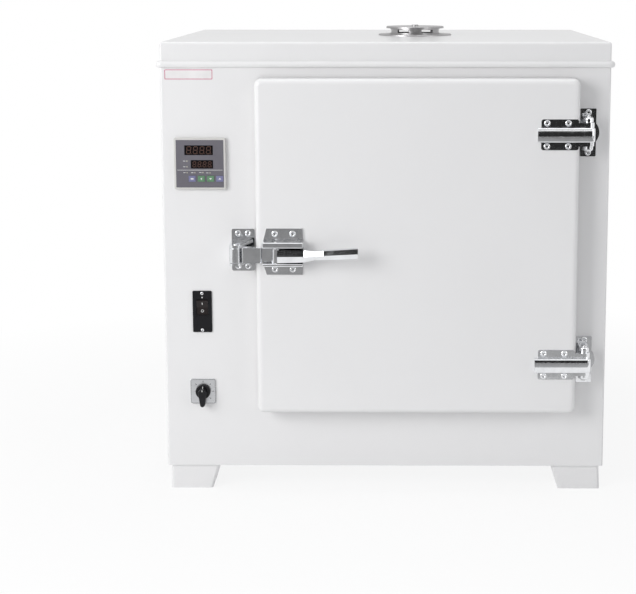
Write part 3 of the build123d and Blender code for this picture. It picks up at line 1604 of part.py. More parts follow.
def make_key(name, key_x):
    """A controller key that slides into its pocket."""
    with BuildPart() as key:
        with BuildSketch(face(key_back, controller_x + key_x, controller_z + key_z)):
            RectangleRounded(key_width, key_height, key_edge_radius)
        extrude(amount=key_thickness)
        fillet(key.faces().sort_by(Axis.Y)[0].edges(), radius=key_edge_radius * 0.7)
    key.part.label = name
    return key.part


keys = [make_key(name, key_x) for name, key_x in key_places.items()]

# Breaker: a plate on the panel, a body behind it and a rocker between them
rocker_z = breaker_z + rocker_rise
rocker_opening = rocker_width + 2 * rocker_clearance
rocker_pocket_radius = rocker_radius + rocker_clearance
with BuildPart() as breaker_plate:
    with BuildSketch(face(0, breaker_x, breaker_z)):
        RectangleRounded(breaker_plate_width, breaker_plate_height, breaker_plate_corner_radius)
        with Locations((0, rocker_rise)):
            Rectangle(rocker_opening, 2 * rocker_pocket_radius, mode=Mode.SUBTRACT)
    extrude(amount=breaker_plate_sheet)
breaker_plate.part.label = "breaker_plate"

with BuildPart() as breaker_body:
    with BuildSketch(face(0, breaker_x, breaker_z)):
        Rectangle(breaker_body_width, breaker_body_height)
    extrude(amount=-breaker_body_depth)
    with BuildSketch(side(breaker_x - rocker_opening / 2, rocker_pivot_depth, rocker_z)):
        Circle(rocker_pocket_radius)
    extrude(amount=rocker_opening, mode=Mode.SUBTRACT)
breaker_body.part.label = "breaker_body"

rocker_half_height = (rocker_radius**2 - rocker_edge_proud**2) ** 0.5
rocker_plane = Plane(
    origin=(breaker_x - rocker_width / 2, front_y + rocker_pivot_depth, rocker_z),
    x_dir=Vector(0, 1, 0).rotate(Axis.X, rocker_tilt),
    z_dir=(1, 0, 0),
)
with BuildPart() as breaker_rocker:
    with BuildSketch(rocker_plane):
        with BuildLine():
            Polyline(
                (-rocker_edge_proud, rocker_half_height),
                (-rocker_waist_proud, 0),
                (-rocker_edge_proud, -rocker_half_height),
            )
            ThreePointArc(
                (-rocker_edge_proud, -rocker_half_height),
                (rocker_radius, 0),
                (-rocker_edge_proud, rocker_half_height),
            )
        make_face()
    extrude(amount=rocker_width)
breaker_rocker.part.label = "breaker_rocker"

# Rotary selector: a square plate, a switch body behind the panel and a knob with a pointed tail
with BuildPart() as selector_plate:
    with BuildSketch(face(0, selector_x, selector_z)):
        RectangleRounded(selector_plate_size, selector_plate_size, selector_corner_radius)
        Circle(selector_shaft_radius + knob_gap, mode=Mode.SUBTRACT)
    extrude(amount=selector_plate_sheet)
    plate_rim = selector_plate.faces().sort_by(Axis.Y)[0].outer_wire().edges()
    fillet(plate_rim, radius=selector_edge_radius)
selector_plate.part.label = "selector_plate"

with BuildPart() as selector_body:
    with BuildSketch(face(sheet, selector_x, selector_z)):
        RectangleRounded(selector_body_size, selector_body_size, selector_body_corner_radius)
    extrude(amount=-selector_body_depth)
    rod(0, sheet, selector_x, selector_z, selector_boss_radius)
    bore_radius = selector_shaft_radius + selector_clearance
    bore_depth = selector_shaft_length + selector_shaft_end_clearance
    rod(0, bore_depth, selector_x, selector_z, bore_radius, Mode.SUBTRACT)
selector_body.part.label = "selector_body"

knob_back = -selector_plate_sheet - knob_gap
with BuildPart() as knob_grip:
    with BuildSketch(face(knob_back, selector_x, selector_z)):
        Circle(knob_grip_radius)
        with Locations((0, -knob_tail + knob_tail_width / 2)):
            Circle(knob_tail_width / 2)
        make_hull()
    extrude(amount=knob_height)
    fillet(knob_grip.faces().sort_by(Axis.Y)[0].edges(), radius=knob_grip_edge_radius)

with BuildPart() as selector_knob:
    rod(knob_back - knob_base_height, knob_back, selector_x, selector_z, knob_radius)
    fillet(selector_knob.faces().sort_by(Axis.Y)[0].edges(), radius=knob_base_edge_radius)
    add(knob_grip.part)
    rod(knob_back, selector_shaft_length, selector_x, selector_z, selector_shaft_radius)
selector_knob.part.label = "selector_knob"

pieces = [
    cabinet_shell.part,
    base_pan.part,
    top_lid.part,
    rear_panel.part,
    control_partition.part,
    motor_partition.part,
    mouth_frame.part,
    chamber_liner.part,
    wall_insulation.part,
    rear_insulation.part,
    air_baffle.part,
    heater_coil.part,
    fan_impeller.part,
    fan_shaft.part,
    fan_motor.part,
    vent_pipe.part,
    vent_base.part,
    vent_cap.part,
    shelf_rail_left,
    shelf_rail_right,
    *shelves,
    temperature_probe.part,
    relay_heatsink.part,
    solid_state_relay.part,
    terminal_block.part,
    cable_gland.part,
    *feet,
    door_skin.part,
    door_inner_panel.part,
    door_insulation.part,
    door_gasket.part,
    *straps,
    *brackets,
    hinge_pins.part,
    latch_base.part,
    latch_pin.part,
    latch_handle.part,
    latch_tongue.part,
    keeper_bracket.part,
    keeper_roller.part,
    cabinet_screws.part,
    door_screws.part,
    controller_case.part,
    controller_front.part,
    *keys,
    breaker_plate.part,
    breaker_body.part,
    breaker_rocker.part,
    selector_plate.part,
    selector_body.part,
    selector_knob.part,
]

os.makedirs("parts", exist_ok=True)
for piece in pieces:
    export_step(piece, f"parts/{piece.label}.step")
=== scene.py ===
import math

import bmesh
import bpy
from mathutils import Matrix, Vector
from mathutils.bvhtree import BVHTree


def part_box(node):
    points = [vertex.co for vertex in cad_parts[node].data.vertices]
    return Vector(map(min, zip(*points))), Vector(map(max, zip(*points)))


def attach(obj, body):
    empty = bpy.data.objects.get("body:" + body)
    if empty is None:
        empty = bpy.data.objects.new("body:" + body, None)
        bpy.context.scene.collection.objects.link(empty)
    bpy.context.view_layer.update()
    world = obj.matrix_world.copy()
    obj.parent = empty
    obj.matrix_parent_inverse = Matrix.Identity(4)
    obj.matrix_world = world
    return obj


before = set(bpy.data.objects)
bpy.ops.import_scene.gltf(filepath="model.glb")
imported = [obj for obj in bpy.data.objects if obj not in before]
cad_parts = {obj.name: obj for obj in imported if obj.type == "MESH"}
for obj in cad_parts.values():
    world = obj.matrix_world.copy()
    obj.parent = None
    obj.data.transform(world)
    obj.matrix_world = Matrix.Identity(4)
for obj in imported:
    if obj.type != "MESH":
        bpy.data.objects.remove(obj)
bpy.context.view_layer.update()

MM = 0.001
TO_FRONT = (0, -1, 0)
TO_REAR = (0, 1, 0)

# Camera, matched to the photograph
IMAGE_WIDTH = 636
FOCAL_PIXELS = 1603.0
CAMERA_PLACE = (0.0201, -3.2586, 0.9691)
CAMERA_PITCH = -0.1592
CAMERA_YAW = -0.0075
CAMERA_SHIFT = (-0.104, -0.100)
SENSOR_WIDTH = 36.0

# Light levels in watts, and the share of the floor's white that the camera sees
KEY_POWER = 60.0
FILL_POWER = 13.0
TOP_POWER = 25.0
AMBIENT = 0.41
FLOOR_GLOW_NEAR = 0.86
FLOOR_GLOW_FAR = 1.0

# The floor, in metres: half its side, and how far from the oven its white begins and ends to rise
FLOOR_HALF = 12.0
FLOOR_FADE_START = 0.7
FLOOR_FADE_END = 1.5

# How far marks stand off what they lie on, in millimetres
INK_LIFT = 0.06
KEY_SYMBOL_LIFT = 0.08
PLATE_DOT_LIFT = 0.08
SWITCH_MARK_LIFT = 0.1
PLATE_LIFT = 0.15
PLATE_BORDER_LIFT = 0.2
WINDOW_LIFT = 0.25
DIGIT_LIFT = 0.34

# Controller, in millimetres from the middle of its front: name, across, up, width, height,
# then the digits' width, height and pitch
WINDOWS = (
    ("upper_window", -2.0, 25.2, 52.4, 17.8, 7.0, 13.0, 12.2),
    ("lower_window", 3.8, -1.0, 40.9, 15.4, 5.2, 9.6, 9.4),
)
DIGITS_PER_WINDOW = 4
SEGMENT_WIDTH = 1.5
SEGMENT_GAP = 0.5
DIGIT_SLANT = 0.10
POINT_SIZE = 1.3
POINT_GAP = 1.6
LAMPS = ((-23.9, 5.1), (-23.9, -5.5), (-23.9, -16.5), (-9.4, -16.5), (5.5, -16.2), (18.6, -16.9))
LAMP_RADIUS = 1.3
LEGEND_WIDTH = 4.2
LEGEND_HEIGHT = 1.0
LEGEND_LEFT_OF_LAMP = 5.0
DIVIDER_DROP = 11.7
DIVIDER_WIDTH = 84.0
DIVIDER_HEIGHT = 0.7

# Breaker, selector and blank plate, in millimetres
ROCKER_BAR_WIDTH = 1.0
ROCKER_BAR_HEIGHT = 5.0
ROCKER_MARK_RISE = 0.24
ROCKER_RING_OUTER = 2.6
ROCKER_RING_INNER = 1.8
PLATE_DOT_DROP = 12.5
SELECTOR_MARK_RADIUS = 19.0
SELECTOR_BORDER_SIZE = 47.0
SELECTOR_BORDER_WIDTH = 0.8
# The white line on the selector knob: its width and the length of each of its steps
WHITE_LINE_WIDTH = 1.3
WHITE_LINE_STEP = 1.5
BLANK_WIDTH = 90.0
BLANK_HEIGHT = 20.0
BLANK_FROM_SIDE = 8.0
BLANK_FROM_TOP = 2.5
BLANK_BORDER_INSET = 1.0
BLANK_BORDER_WIDTH = 1.2

# Screw heads, in millimetres
DOME_SHARE = 0.98
DOME_HEIGHT = 1.3
PAN_HEAD_RADIUS = 4.0
PAN_HEAD_HEIGHT = 2.2
PAN_HEAD_INSET = 9.0


# Node materials

def new_material(name, base, roughness, metallic=0.0):
    """A material with one principled shader; returns the material, its tree and the shader."""
    material = bpy.data.materials.new(name)
    material.use_nodes = True
    tree = material.node_tree
    shader = tree.nodes["Principled BSDF"]
    shader.inputs["Base Color"].default_value = (*base, 1)
    shader.inputs["Roughness"].default_value = roughness
    shader.inputs["Metallic"].default_value = metallic
    return material, tree, shader


def stretched_place(tree, scale=(1, 1, 1)):
    """The place on the object, in metres, stretched along each axis."""
    coordinates = tree.nodes.new("ShaderNodeTexCoord")
    mapping = tree.nodes.new("ShaderNodeMapping")
    mapping.inputs["Scale"].default_value = scale
    tree.links.new(coordinates.outputs["Object"], mapping.inputs["Vector"])
    return mapping.outputs["Vector"]


def noise(tree, scale, detail=3.0, stretch=(1, 1, 1)):
    """Noise with so many cells per metre."""
    node = tree.nodes.new("ShaderNodeTexNoise")
    node.inputs["Scale"].default_value = scale
    node.inputs["Detail"].default_value = detail
    tree.links.new(stretched_place(tree, stretch), node.inputs["Vector"])
    return node.outputs["Fac"]


def colour_between(tree, shader, factor, low, high, start=0.35, end=0.65):
    """Base colour that wanders between two colours."""
    ramp = tree.nodes.new("ShaderNodeValToRGB")
    ramp.color_ramp.elements[0].position = start
    ramp.color_ramp.elements[0].color = (*low, 1)
    ramp.color_ramp.elements[1].position = end
    ramp.color_ramp.elements[1].color = (*high, 1)
    tree.links.new(factor, ramp.inputs["Fac"])
    tree.links.new(ramp.outputs["Color"], shader.inputs["Base Color"])


def roughness_between(tree, shader, factor, low, high):
    """Roughness that wanders between two values."""
    span = tree.nodes.new("ShaderNodeMapRange")
    span.inputs["From Min"].default_value = 0.3
    span.inputs["From Max"].default_value = 0.7
    span.inputs["To Min"].default_value = low
    span.inputs["To Max"].default_value = high
    tree.links.new(factor, span.inputs["Value"])
    tree.links.new(span.outputs["Result"], shader.inputs["Roughness"])


def bump(tree, shader, height, depth_mm):
    """Relief of a given depth from a height between 0 and 1."""
    node = tree.nodes.new("ShaderNodeBump")
    node.inputs["Strength"].default_value = 1.0
    node.inputs["Distance"].default_value = depth_mm * MM
    tree.links.new(height, node.inputs["Height"])
    tree.links.new(node.outputs["Normal"], shader.inputs["Normal"])


def enamel():
    """Baked white enamel: a faint orange peel and a slightly uneven gloss."""
    material, tree, shader = new_material("white_enamel", (0.80, 0.795, 0.795), 0.3)
    patches = noise(tree, 5.0)
    colour_between(tree, shader, patches, (0.792, 0.786, 0.787), (0.804, 0.798, 0.799), 0.2, 0.8)
    roughness_between(tree, shader, noise(tree, 12.0), 0.29, 0.31)
    bump(tree, shader, noise(tree, 380.0, 2.0), 0.006)
    shader.inputs["Coat Weight"].default_value = 0.25
    shader.inputs["Coat Roughness"].default_value = 0.12
    return material


def chrome():
    """Bright chrome plate with faint polishing haze."""
    material, tree, shader = new_material("chrome", (0.80, 0.81, 0.83), 0.08, 1.0)
    colour_between(tree, shader, noise(tree, 60.0), (0.76, 0.77, 0.79), (0.83, 0.84, 0.86))
    roughness_between(tree, shader, noise(tree, 90.0), 0.05, 0.13)
    bump(tree, shader, noise(tree, 260.0, 2.0), 0.012)
    return material


def brushed(name, base, low, high, stretch, depth_mm=0.02):
    """Metal brushed along one direction."""
    material, tree, shader = new_material(name, base, (low + high) / 2, 1.0)
    grain = noise(tree, 300.0, 4.0, stretch)
    dark = tuple(value * 0.93 for value in base)
    colour_between(tree, shader, grain, dark, base)
    roughness_between(tree, shader, grain, low, high)
    bump(tree, shader, grain, depth_mm)
    return material


def galvanised():
    """Zinc spangle on sheet steel."""
    material, tree, shader = new_material("galvanised_sheet", (0.62, 0.64, 0.66), 0.42, 0.85)
    spangle = tree.nodes.new("ShaderNodeTexVoronoi")
    spangle.inputs["Scale"].default_value = 90.0
    tree.links.new(stretched_place(tree), spangle.inputs["Vector"])
    channels = tree.nodes.new("ShaderNodeSeparateColor")
    tree.links.new(spangle.outputs["Color"], channels.inputs["Color"])
    flakes = channels.outputs["Red"]
    colour_between(tree, shader, flakes, (0.50, 0.52, 0.55), (0.68, 0.70, 0.72), 0.0, 1.0)
    roughness_between(tree, shader, channels.outputs["Green"], 0.34, 0.52)
    bump(tree, shader, noise(tree, 200.0), 0.03)
    return material


def mineral_wool():
    """Matted mineral fibre."""
    material, tree, shader = new_material("mineral_wool", (0.62, 0.55, 0.38), 0.95)
    fibres = noise(tree, 260.0, 6.0, (1, 1, 6))
    colour_between(tree, shader, fibres, (0.42, 0.36, 0.22), (0.74, 0.68, 0.50))
    bump(tree, shader, fibres, 1.5)
    shader.inputs["Sheen Weight"].default_value = 0.3
    return material


def silicone():
    """Brick red silicone with a dusty surface."""
    material, tree, shader = new_material("silicone", (0.42, 0.12, 0.09), 0.55)
    colour_between(tree, shader, noise(tree, 40.0), (0.38, 0.11, 0.08), (0.46, 0.15, 0.11))
    roughness_between(tree, shader, noise(tree, 120.0), 0.48, 0.66)
    bump(tree, shader, noise(tree, 700.0), 0.05)
    return material


def plastic(name, base, low, high, grain=900.0, depth_mm=0.03, coat=0.0):
    """Moulded plastic with a fine spark-eroded grain."""
    material, tree, shader = new_material(name, base, (low + high) / 2)
    dark = tuple(value * 0.92 for value in base)
    colour_between(tree, shader, noise(tree, 30.0), dark, base)
    roughness_between(tree, shader, noise(tree, 160.0), low, high)
    bump(tree, shader, noise(tree, grain, 2.0), depth_mm)
    shader.inputs["Coat Weight"].default_value = coat
    shader.inputs["Specular IOR Level"].default_value = 0.3
    return material


def cast_paint():
    """Dark paint over a rough casting."""
    material, tree, shader = new_material("cast_iron_motor", (0.10, 0.11, 0.12), 0.5)
    grain = noise(tree, 220.0, 5.0)
    colour_between(tree, shader, grain, (0.08, 0.085, 0.09), (0.14, 0.15, 0.16))
    roughness_between(tree, shader, grain, 0.42, 0.6)
    bump(tree, shader, grain, 0.35)
    return material


materials = {
    "white_enamel": enamel(),
    "galvanised_sheet": galvanised(),
    "stainless_chamber": brushed(
        "stainless_chamber", (0.70, 0.70, 0.71), 0.26, 0.34, (0.1, 0.1, 3), 0.002
    ),
    "chrome": chrome(),
    "satin_chrome": brushed("satin_chrome", (0.36, 0.355, 0.36), 0.24, 0.4, (1, 1, 8), 0.01),
    "steel_screw": brushed("steel_screw", (0.74, 0.75, 0.76), 0.16, 0.28, (1, 1, 1)),
    "mineral_wool": mineral_wool(),
    "silicone": silicone(),
    "cast_iron_motor": cast_paint(),
    "steel_shaft": brushed("steel_shaft", (0.62, 0.62, 0.63), 0.18, 0.32, (1, 1, 0.1)),
    "aluminium_fins": brushed("aluminium_fins", (0.76, 0.77, 0.78), 0.3, 0.45, (1, 0.05, 1)),
    "heater_sheath": brushed("heater_sheath", (0.26, 0.24, 0.22), 0.4, 0.6, (1, 1, 1)),
    "controller_bezel": plastic("controller_bezel", (0.62, 0.61, 0.59), 0.36, 0.46),
    "controller_face": plastic("controller_face", (0.150, 0.143, 0.165), 0.38, 0.48),
    "key_grey": plastic("key_grey", (0.20, 0.20, 0.34), 0.4, 0.5),
    "key_green": plastic("key_green", (0.13, 0.26, 0.15), 0.4, 0.5),
    "black_plastic": plastic("black_plastic", (0.007, 0.007, 0.009), 0.30, 0.42),
    "rocker_brown": plastic("rocker_brown", (0.016, 0.011, 0.011), 0.26, 0.36),
    "selector_silver": brushed("selector_silver", (0.70, 0.71, 0.73), 0.26, 0.36, (0.05, 1, 1)),
    "relay_plastic": plastic("relay_plastic", (0.72, 0.72, 0.68), 0.38, 0.5),
    "gland_grey": plastic("gland_grey", (0.10, 0.10, 0.105), 0.36, 0.5),
    "display_glass": plastic(
        "display_glass", (0.006, 0.005, 0.006), 0.12, 0.2, 300.0, 0.004, 0.2
    ),
    "unlit_segment": plastic("unlit_segment", (0.085, 0.045, 0.035), 0.3, 0.42),
    "printed_white": plastic("printed_white", (0.74, 0.74, 0.73), 0.4, 0.52),
    "printed_black": plastic("printed_black", (0.02, 0.02, 0.022), 0.4, 0.52),
    "lamp_lens": plastic("lamp_lens", (0.48, 0.46, 0.40), 0.12, 0.2, 300.0, 0.01, 0.5),
    "bare_plate": plastic("bare_plate", (0.82, 0.80, 0.80), 0.3, 0.42),
    "plate_border": plastic("plate_border", (0.56, 0.10, 0.22), 0.4, 0.52),
}


def dress_nodes():
    """Each node gets the node material of its own slot; the vent's chrome is a duller one."""
    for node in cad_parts.values():
        for slot in node.material_slots:
            slot.material = materials[slot.material.name.split(".")[0]]
    for name in ("vent_base", "vent_cap"):
        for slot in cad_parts[name].material_slots:
            slot.material = materials["satin_chrome"]


# Small pieces that seat on the frame

def surface_of(node):
    """A search tree of a node's faces."""
    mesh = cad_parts[node].data
    corners = [vertex.co.copy() for vertex in mesh.vertices]
    return BVHTree.FromPolygons(corners, [tuple(face.vertices) for face in mesh.polygons])


def front_middle(node):
    """The x and z of the middle of a node's box."""
    low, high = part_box(node)
    return (low.x + high.x) / 2, (low.z + high.z) / 2


def front_depth(surface, x, z):
    """The y of a surface where a ray from the front meets it."""
    hit = surface.ray_cast(Vector((x, -2, z)), Vector(TO_REAR))
    return hit[0].y


def closed_mesh(name, shape):
    """A mesh from a closed shape, its faces turned outwards."""
    bmesh.ops.recalc_face_normals(shape, faces=shape.faces)
    mesh = bpy.data.meshes.new(name)
    shape.to_mesh(mesh)
    shape.free()
    return mesh


def finish_piece(name, mesh, body, material):
    """An object from a mesh, which moves with a body."""
    piece = bpy.data.objects.new(name, mesh)
    bpy.context.scene.collection.objects.link(piece)
    piece.data.materials.append(materials[material])
    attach(piece, body)
    return piece


def relief(name, outlines, surface, body, material, lift_mm):
    """Flat marks that follow the surface they lie on, from outlines given in x and z."""
    shape = bmesh.new()
    for outline in outlines:
        fronts = []
        backs = []
        for x, z in outline:
            y = front_depth(surface, x, z)
            fronts.append(shape.verts.new((x, y - lift_mm * MM, z)))
            backs.append(shape.verts.new((x, y + lift_mm * MM, z)))
        shape.faces.new(fronts)
        shape.faces.new(backs[::-1])
        count = len(outline)
        for index in range(count):
            following = (index + 1) % count
            shape.faces.new((fronts[following], fronts[index], backs[index], backs[following]))
    finish_piece(name, closed_mesh(name, shape), body, material)


def rectangle(x, z, width, height):
    """The four corners of an upright rectangle round a point, sizes in millimetres."""
    across = width * MM / 2
    up = height * MM / 2
    left = x - across
    right = x + across
    return [(left, z - up), (right, z - up), (right, z + up), (left, z + up)]


def rounded_rectangle(x, z, width, height, radius, steps=5):
    """An upright rectangle with round corners."""
    points = []
    for corner, (side, top) in enumerate(((1, 1), (-1, 1), (-1, -1), (1, -1))):
        for step in range(steps + 1):
            angle = math.pi / 2 * (corner + step / steps)
            points.append(
                (
                    x + (side * (width / 2 - radius) + radius * math.cos(angle)) * MM,
                    z + (top * (height / 2 - radius) + radius * math.sin(angle)) * MM,
                )
            )
    return points


def border_parts(x, z, width, height, thickness, outer_radius, inner_radius):
    """A thin border with round corners, as a run of four-sided outlines."""
    outer = rounded_rectangle(x, z, width, height, outer_radius)
    inner = rounded_rectangle(x, z, width - 2 * thickness, height - 2 * thickness, inner_radius)
    parts = []
    for index, corner in enumerate(outer):
        following = (index + 1) % len(outer)
        parts.append([corner, outer[following], inner[following], inner[index]])
    return parts


def turned_outline(x, z, angle, points):
    """Points in millimetres, turned about their own origin and moved to a place."""
    cosine = math.cos(angle)
    sine = math.sin(angle)
    return [(x + (u * cosine - v * sine) * MM, z + (u * sine + v * cosine) * MM) for u, v in points]


def ring_parts(x, z, outer, inner, count=24):
    """A flat ring as a run of four-sided outlines."""
    parts = []
    for index in range(count):
        start = 2 * math.pi * index / count
        end = 2 * math.pi * (index + 1) / count
        corners = ((inner, start), (outer, start), (outer, end), (inner, end))
        parts.append([(x + r * MM * math.cos(a), z + r * MM * math.sin(a)) for r, a in corners])
    return parts


def lathe(name, profile, centre, axis, body, material, steps=32):
    """A turned piece: a profile of radius and height in millimetres, spun about an axis."""
    shape = bmesh.new()
    turn = Vector((0, 0, 1)).rotation_difference(Vector(axis)).to_matrix().to_4x4()
    place = Matrix.Translation(centre) @ turn
    rings = []
    for radius, height in profile:
        if radius == 0:
            rings.append([shape.verts.new(place @ Vector((0, 0, height * MM)))])
            continue
        ring = []
        for step in range(steps):
            angle = 2 * math.pi * step / steps
            point = Vector((radius * math.cos(angle), radius * math.sin(angle), height)) * MM
            ring.append(shape.verts.new(place @ point))
        rings.append(ring)
    for lower, upper in zip(rings, rings[1:]):
        for step in range(steps):
            following = (step + 1) % steps
            if len(upper) == 1:
                shape.faces.new((lower[step], lower[following], upper[0]))
            elif len(lower) == 1:
                shape.faces.new((lower[0], upper[following], upper[step]))
            else:
                shape.faces.new((lower[step], lower[following], upper[following], upper[step]))
    mesh = closed_mesh(name, shape)
    for face in mesh.polygons:
        face.use_smooth = True
    piece = finish_piece(name, mesh, body, material)
    crease = piece.modifiers.new("crease", "EDGE_SPLIT")
    crease.split_angle = math.radians(40)


# Temperature controller: windows, unlit digits, lamps, legends and key symbols

SEGMENTS = {
    "top": (0, 1, 0),
    "middle": (0, 0, 0),
    "bottom": (0, -1, 0),
    "upper_left": (-1, 0.5, 90),
    "upper_right": (1, 0.5, 90),
    "lower_left": (-1, -0.5, 90),
    "lower_right": (1, -0.5, 90),
}


def digit_outlines(x, z, width, height):
    """The seven bars of one unlit digit and its decimal point."""
    half = SEGMENT_WIDTH / 2
    outlines = []
    for across, up, turn in SEGMENTS.values():
        reach = ((height / 2 if turn else width) - SEGMENT_GAP) / 2
        bar = [
            (-reach, 0),
            (-reach + half, -half),
            (reach - half, -half),
            (reach, 0),
            (reach - half, half),
            (-reach + half, half),
        ]
        rise = up * height / 2
        centre_x = x + (across * width / 2 + rise * DIGIT_SLANT) * MM
        angle = math.radians(turn) - DIGIT_SLANT * bool(turn)
        outlines.append(turned_outline(centre_x, z + rise * MM, angle, bar))
    point_x = x + (width / 2 + POINT_GAP - height / 2 * DIGIT_SLANT) * MM
    point_z = z - height / 2 * MM
    outlines.append(rectangle(point_x, point_z, POINT_SIZE, POINT_SIZE))
    return outlines


def controller_windows(panel, x, z):
    """The two dark windows with their unlit digits."""
    for name, across, up, width, height, digit_width, digit_height, pitch in WINDOWS:
        place_x = x + across * MM
        place_z = z + up * MM
        outline = rounded_rectangle(place_x, place_z, width, height, 1.0)
        relief(name, [outline], panel, "cabinet", "display_glass", WINDOW_LIFT)
        digits = []
        for index in range(DIGITS_PER_WINDOW):
            digit_x = place_x + (index - (DIGITS_PER_WINDOW - 1) / 2) * pitch * MM
            digits += digit_outlines(digit_x, place_z, digit_width, digit_height)
        relief(
            f"{name}_digits", digits, panel, "cabinet", "unlit_segment",
            DIGIT_LIFT,
        )


def controller_lamps(panel, x, z):
    """Six small lamps, a bar for the legend of each, and the line across the front."""
    profile = (
        (LAMP_RADIUS, -0.3),
        (LAMP_RADIUS, 0.25),
        (LAMP_RADIUS * 0.8, 0.5),
        (LAMP_RADIUS * 0.4, 0.62),
        (0, 0.66),
    )
    legends = [rectangle(x, z - DIVIDER_DROP * MM, DIVIDER_WIDTH, DIVIDER_HEIGHT)]
    for index, (across, up) in enumerate(LAMPS):
        lamp_x = x + across * MM
        lamp_z = z + up * MM
        place = (lamp_x, front_depth(panel, lamp_x, lamp_z), lamp_z)
        lathe(
            f"lamp_{index}", profile, place, TO_FRONT, "cabinet", "lamp_lens", 20
        )
        legend_x = lamp_x - LEGEND_LEFT_OF_LAMP * MM
        legends.append(rectangle(legend_x, lamp_z, LEGEND_WIDTH, LEGEND_HEIGHT))
    relief(
        "controller_legends", legends, panel, "cabinet", "printed_white",
        INK_LIFT,
    )


def key_symbols():
    """A bar on the first key and arrows on the other three."""
    bar = [(-2.6, -1.3), (2.6, -1.3), (2.6, 1.3), (-2.6, 1.3)]
    arrow_down = [(-2.4, 1.2), (0, -2.0), (2.4, 1.2)]
    symbols = {
        "key_set": ("set_key", bar, 0),
        "key_shift": ("shift_key", arrow_down, -90),
        "key_down": ("down_key", arrow_down, 0),
        "key_up": ("up_key", arrow_down, 180),
    }
    for node, (body, outline, turn) in symbols.items():
        x, z = front_middle(node)
        points = turned_outline(x, z, math.radians(turn), outline)
        relief(
            f"{node}_symbol", [points], surface_of(node), body, "printed_white",
            KEY_SYMBOL_LIFT,
        )


def controller_details():
    """What the controller shows: windows, digits, lamps, legends and key symbols."""
    x, z = front_middle("controller_front")
    panel = surface_of("controller_front")
    controller_windows(panel, x, z)
    controller_lamps(panel, x, z)
    key_symbols()


# Breaker, selector and plate

def breaker_details():
    """A bar and a ring on the rocker, and a small round mark on its plate."""
    low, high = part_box("breaker_rocker")
    x, z = front_middle("breaker_rocker")
    rise = (high.z - low.z) * ROCKER_MARK_RISE
    marks = {
        "rocker_on_mark": [rectangle(x, z + rise, ROCKER_BAR_WIDTH, ROCKER_BAR_HEIGHT)],
        "rocker_off_mark": ring_parts(x, z - rise, ROCKER_RING_OUTER, ROCKER_RING_INNER),
    }
    rocker = surface_of("breaker_rocker")
    for name, outlines in marks.items():
        relief(name, outlines, rocker, "rocker", "printed_white", SWITCH_MARK_LIFT)
    plate = surface_of("breaker_plate")
    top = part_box("breaker_plate")[1].z
    dot = ring_parts(x, top - PLATE_DOT_DROP * MM, 1.3, 0.2, 12)
    relief(
        "breaker_plate_dot", dot, plate, "cabinet", "printed_white",
        PLATE_DOT_LIFT,
    )


def selector_details():
    """Position marks and a border on the plate, and a white line up the knob above its middle."""
    x, z = front_middle("selector_plate")
    plate = surface_of("selector_plate")
    bar = [(-1.6, -0.5), (1.6, -0.5), (1.6, 0.5), (-1.6, 0.5)]
    marks = []
    for position in range(-1, 4):
        angle = math.radians(90 - 45 * position)
        centre_x = x + SELECTOR_MARK_RADIUS * MM * math.cos(angle)
        centre_z = z + SELECTOR_MARK_RADIUS * MM * math.sin(angle)
        marks.append(turned_outline(centre_x, centre_z, angle, bar))
    size = SELECTOR_BORDER_SIZE
    border = border_parts(x, z, size, size, SELECTOR_BORDER_WIDTH, 3.6, 3.0)
    for name, outlines in (("selector_marks", marks), ("selector_border", border)):
        relief(name, outlines, plate, "cabinet", "printed_black", INK_LIFT)
    # A white line on the knob, in five short steps running up from above its middle
    white_line = []
    for step in range(2, 7):
        step_z = z + (step + 0.5) * WHITE_LINE_STEP * MM
        white_line.append(rectangle(x, step_z, WHITE_LINE_WIDTH, WHITE_LINE_STEP))
    relief(
        "selector_white_line", white_line, surface_of("selector_knob"), "selector",
        "printed_white", SWITCH_MARK_LIFT,
    )


def bare_plate():
    """A blank plate with a thin border at the top left of the cabinet."""
    low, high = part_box("cabinet_shell")
    shell = surface_of("cabinet_shell")
    x = low.x + (BLANK_FROM_SIDE + BLANK_WIDTH / 2) * MM
    z = high.z - (BLANK_FROM_TOP + BLANK_HEIGHT / 2) * MM
    outline = rounded_rectangle(x, z, BLANK_WIDTH, BLANK_HEIGHT, 1.5)
    relief("blank_plate", [outline], shell, "cabinet", "bare_plate", PLATE_LIFT)
    width = BLANK_WIDTH - 2 * BLANK_BORDER_INSET
    height = BLANK_HEIGHT - 2 * BLANK_BORDER_INSET
    border = border_parts(x, z, width, height, BLANK_BORDER_WIDTH, 1.2, 0.8)
    relief(
        "blank_plate_border", border, shell, "cabinet", "plate_border",
        PLATE_BORDER_LIFT,
    )


# Screw heads

def loose_boxes(mesh):
    """The corners of the box round each separate piece of a mesh."""
    shape = bmesh.new()
    shape.from_mesh(mesh)
    bmesh.ops.remove_doubles(shape, verts=shape.verts, dist=1e-6)
    seen = set()
    boxes = []
    for first in shape.verts:
        if first in seen:
            continue
        seen.add(first)
        waiting = [first]
        low = first.co.copy()
        high = first.co.copy()
        while waiting:
            vertex = waiting.pop()
            for axis in range(3):
                low[axis] = min(low[axis], vertex.co[axis])
                high[axis] = max(high[axis], vertex.co[axis])
            for edge in vertex.link_edges:
                other = edge.other_vert(vertex)
                if other not in seen:
                    seen.add(other)
                    waiting.append(other)
        boxes.append((low, high))
    shape.free()
    return boxes


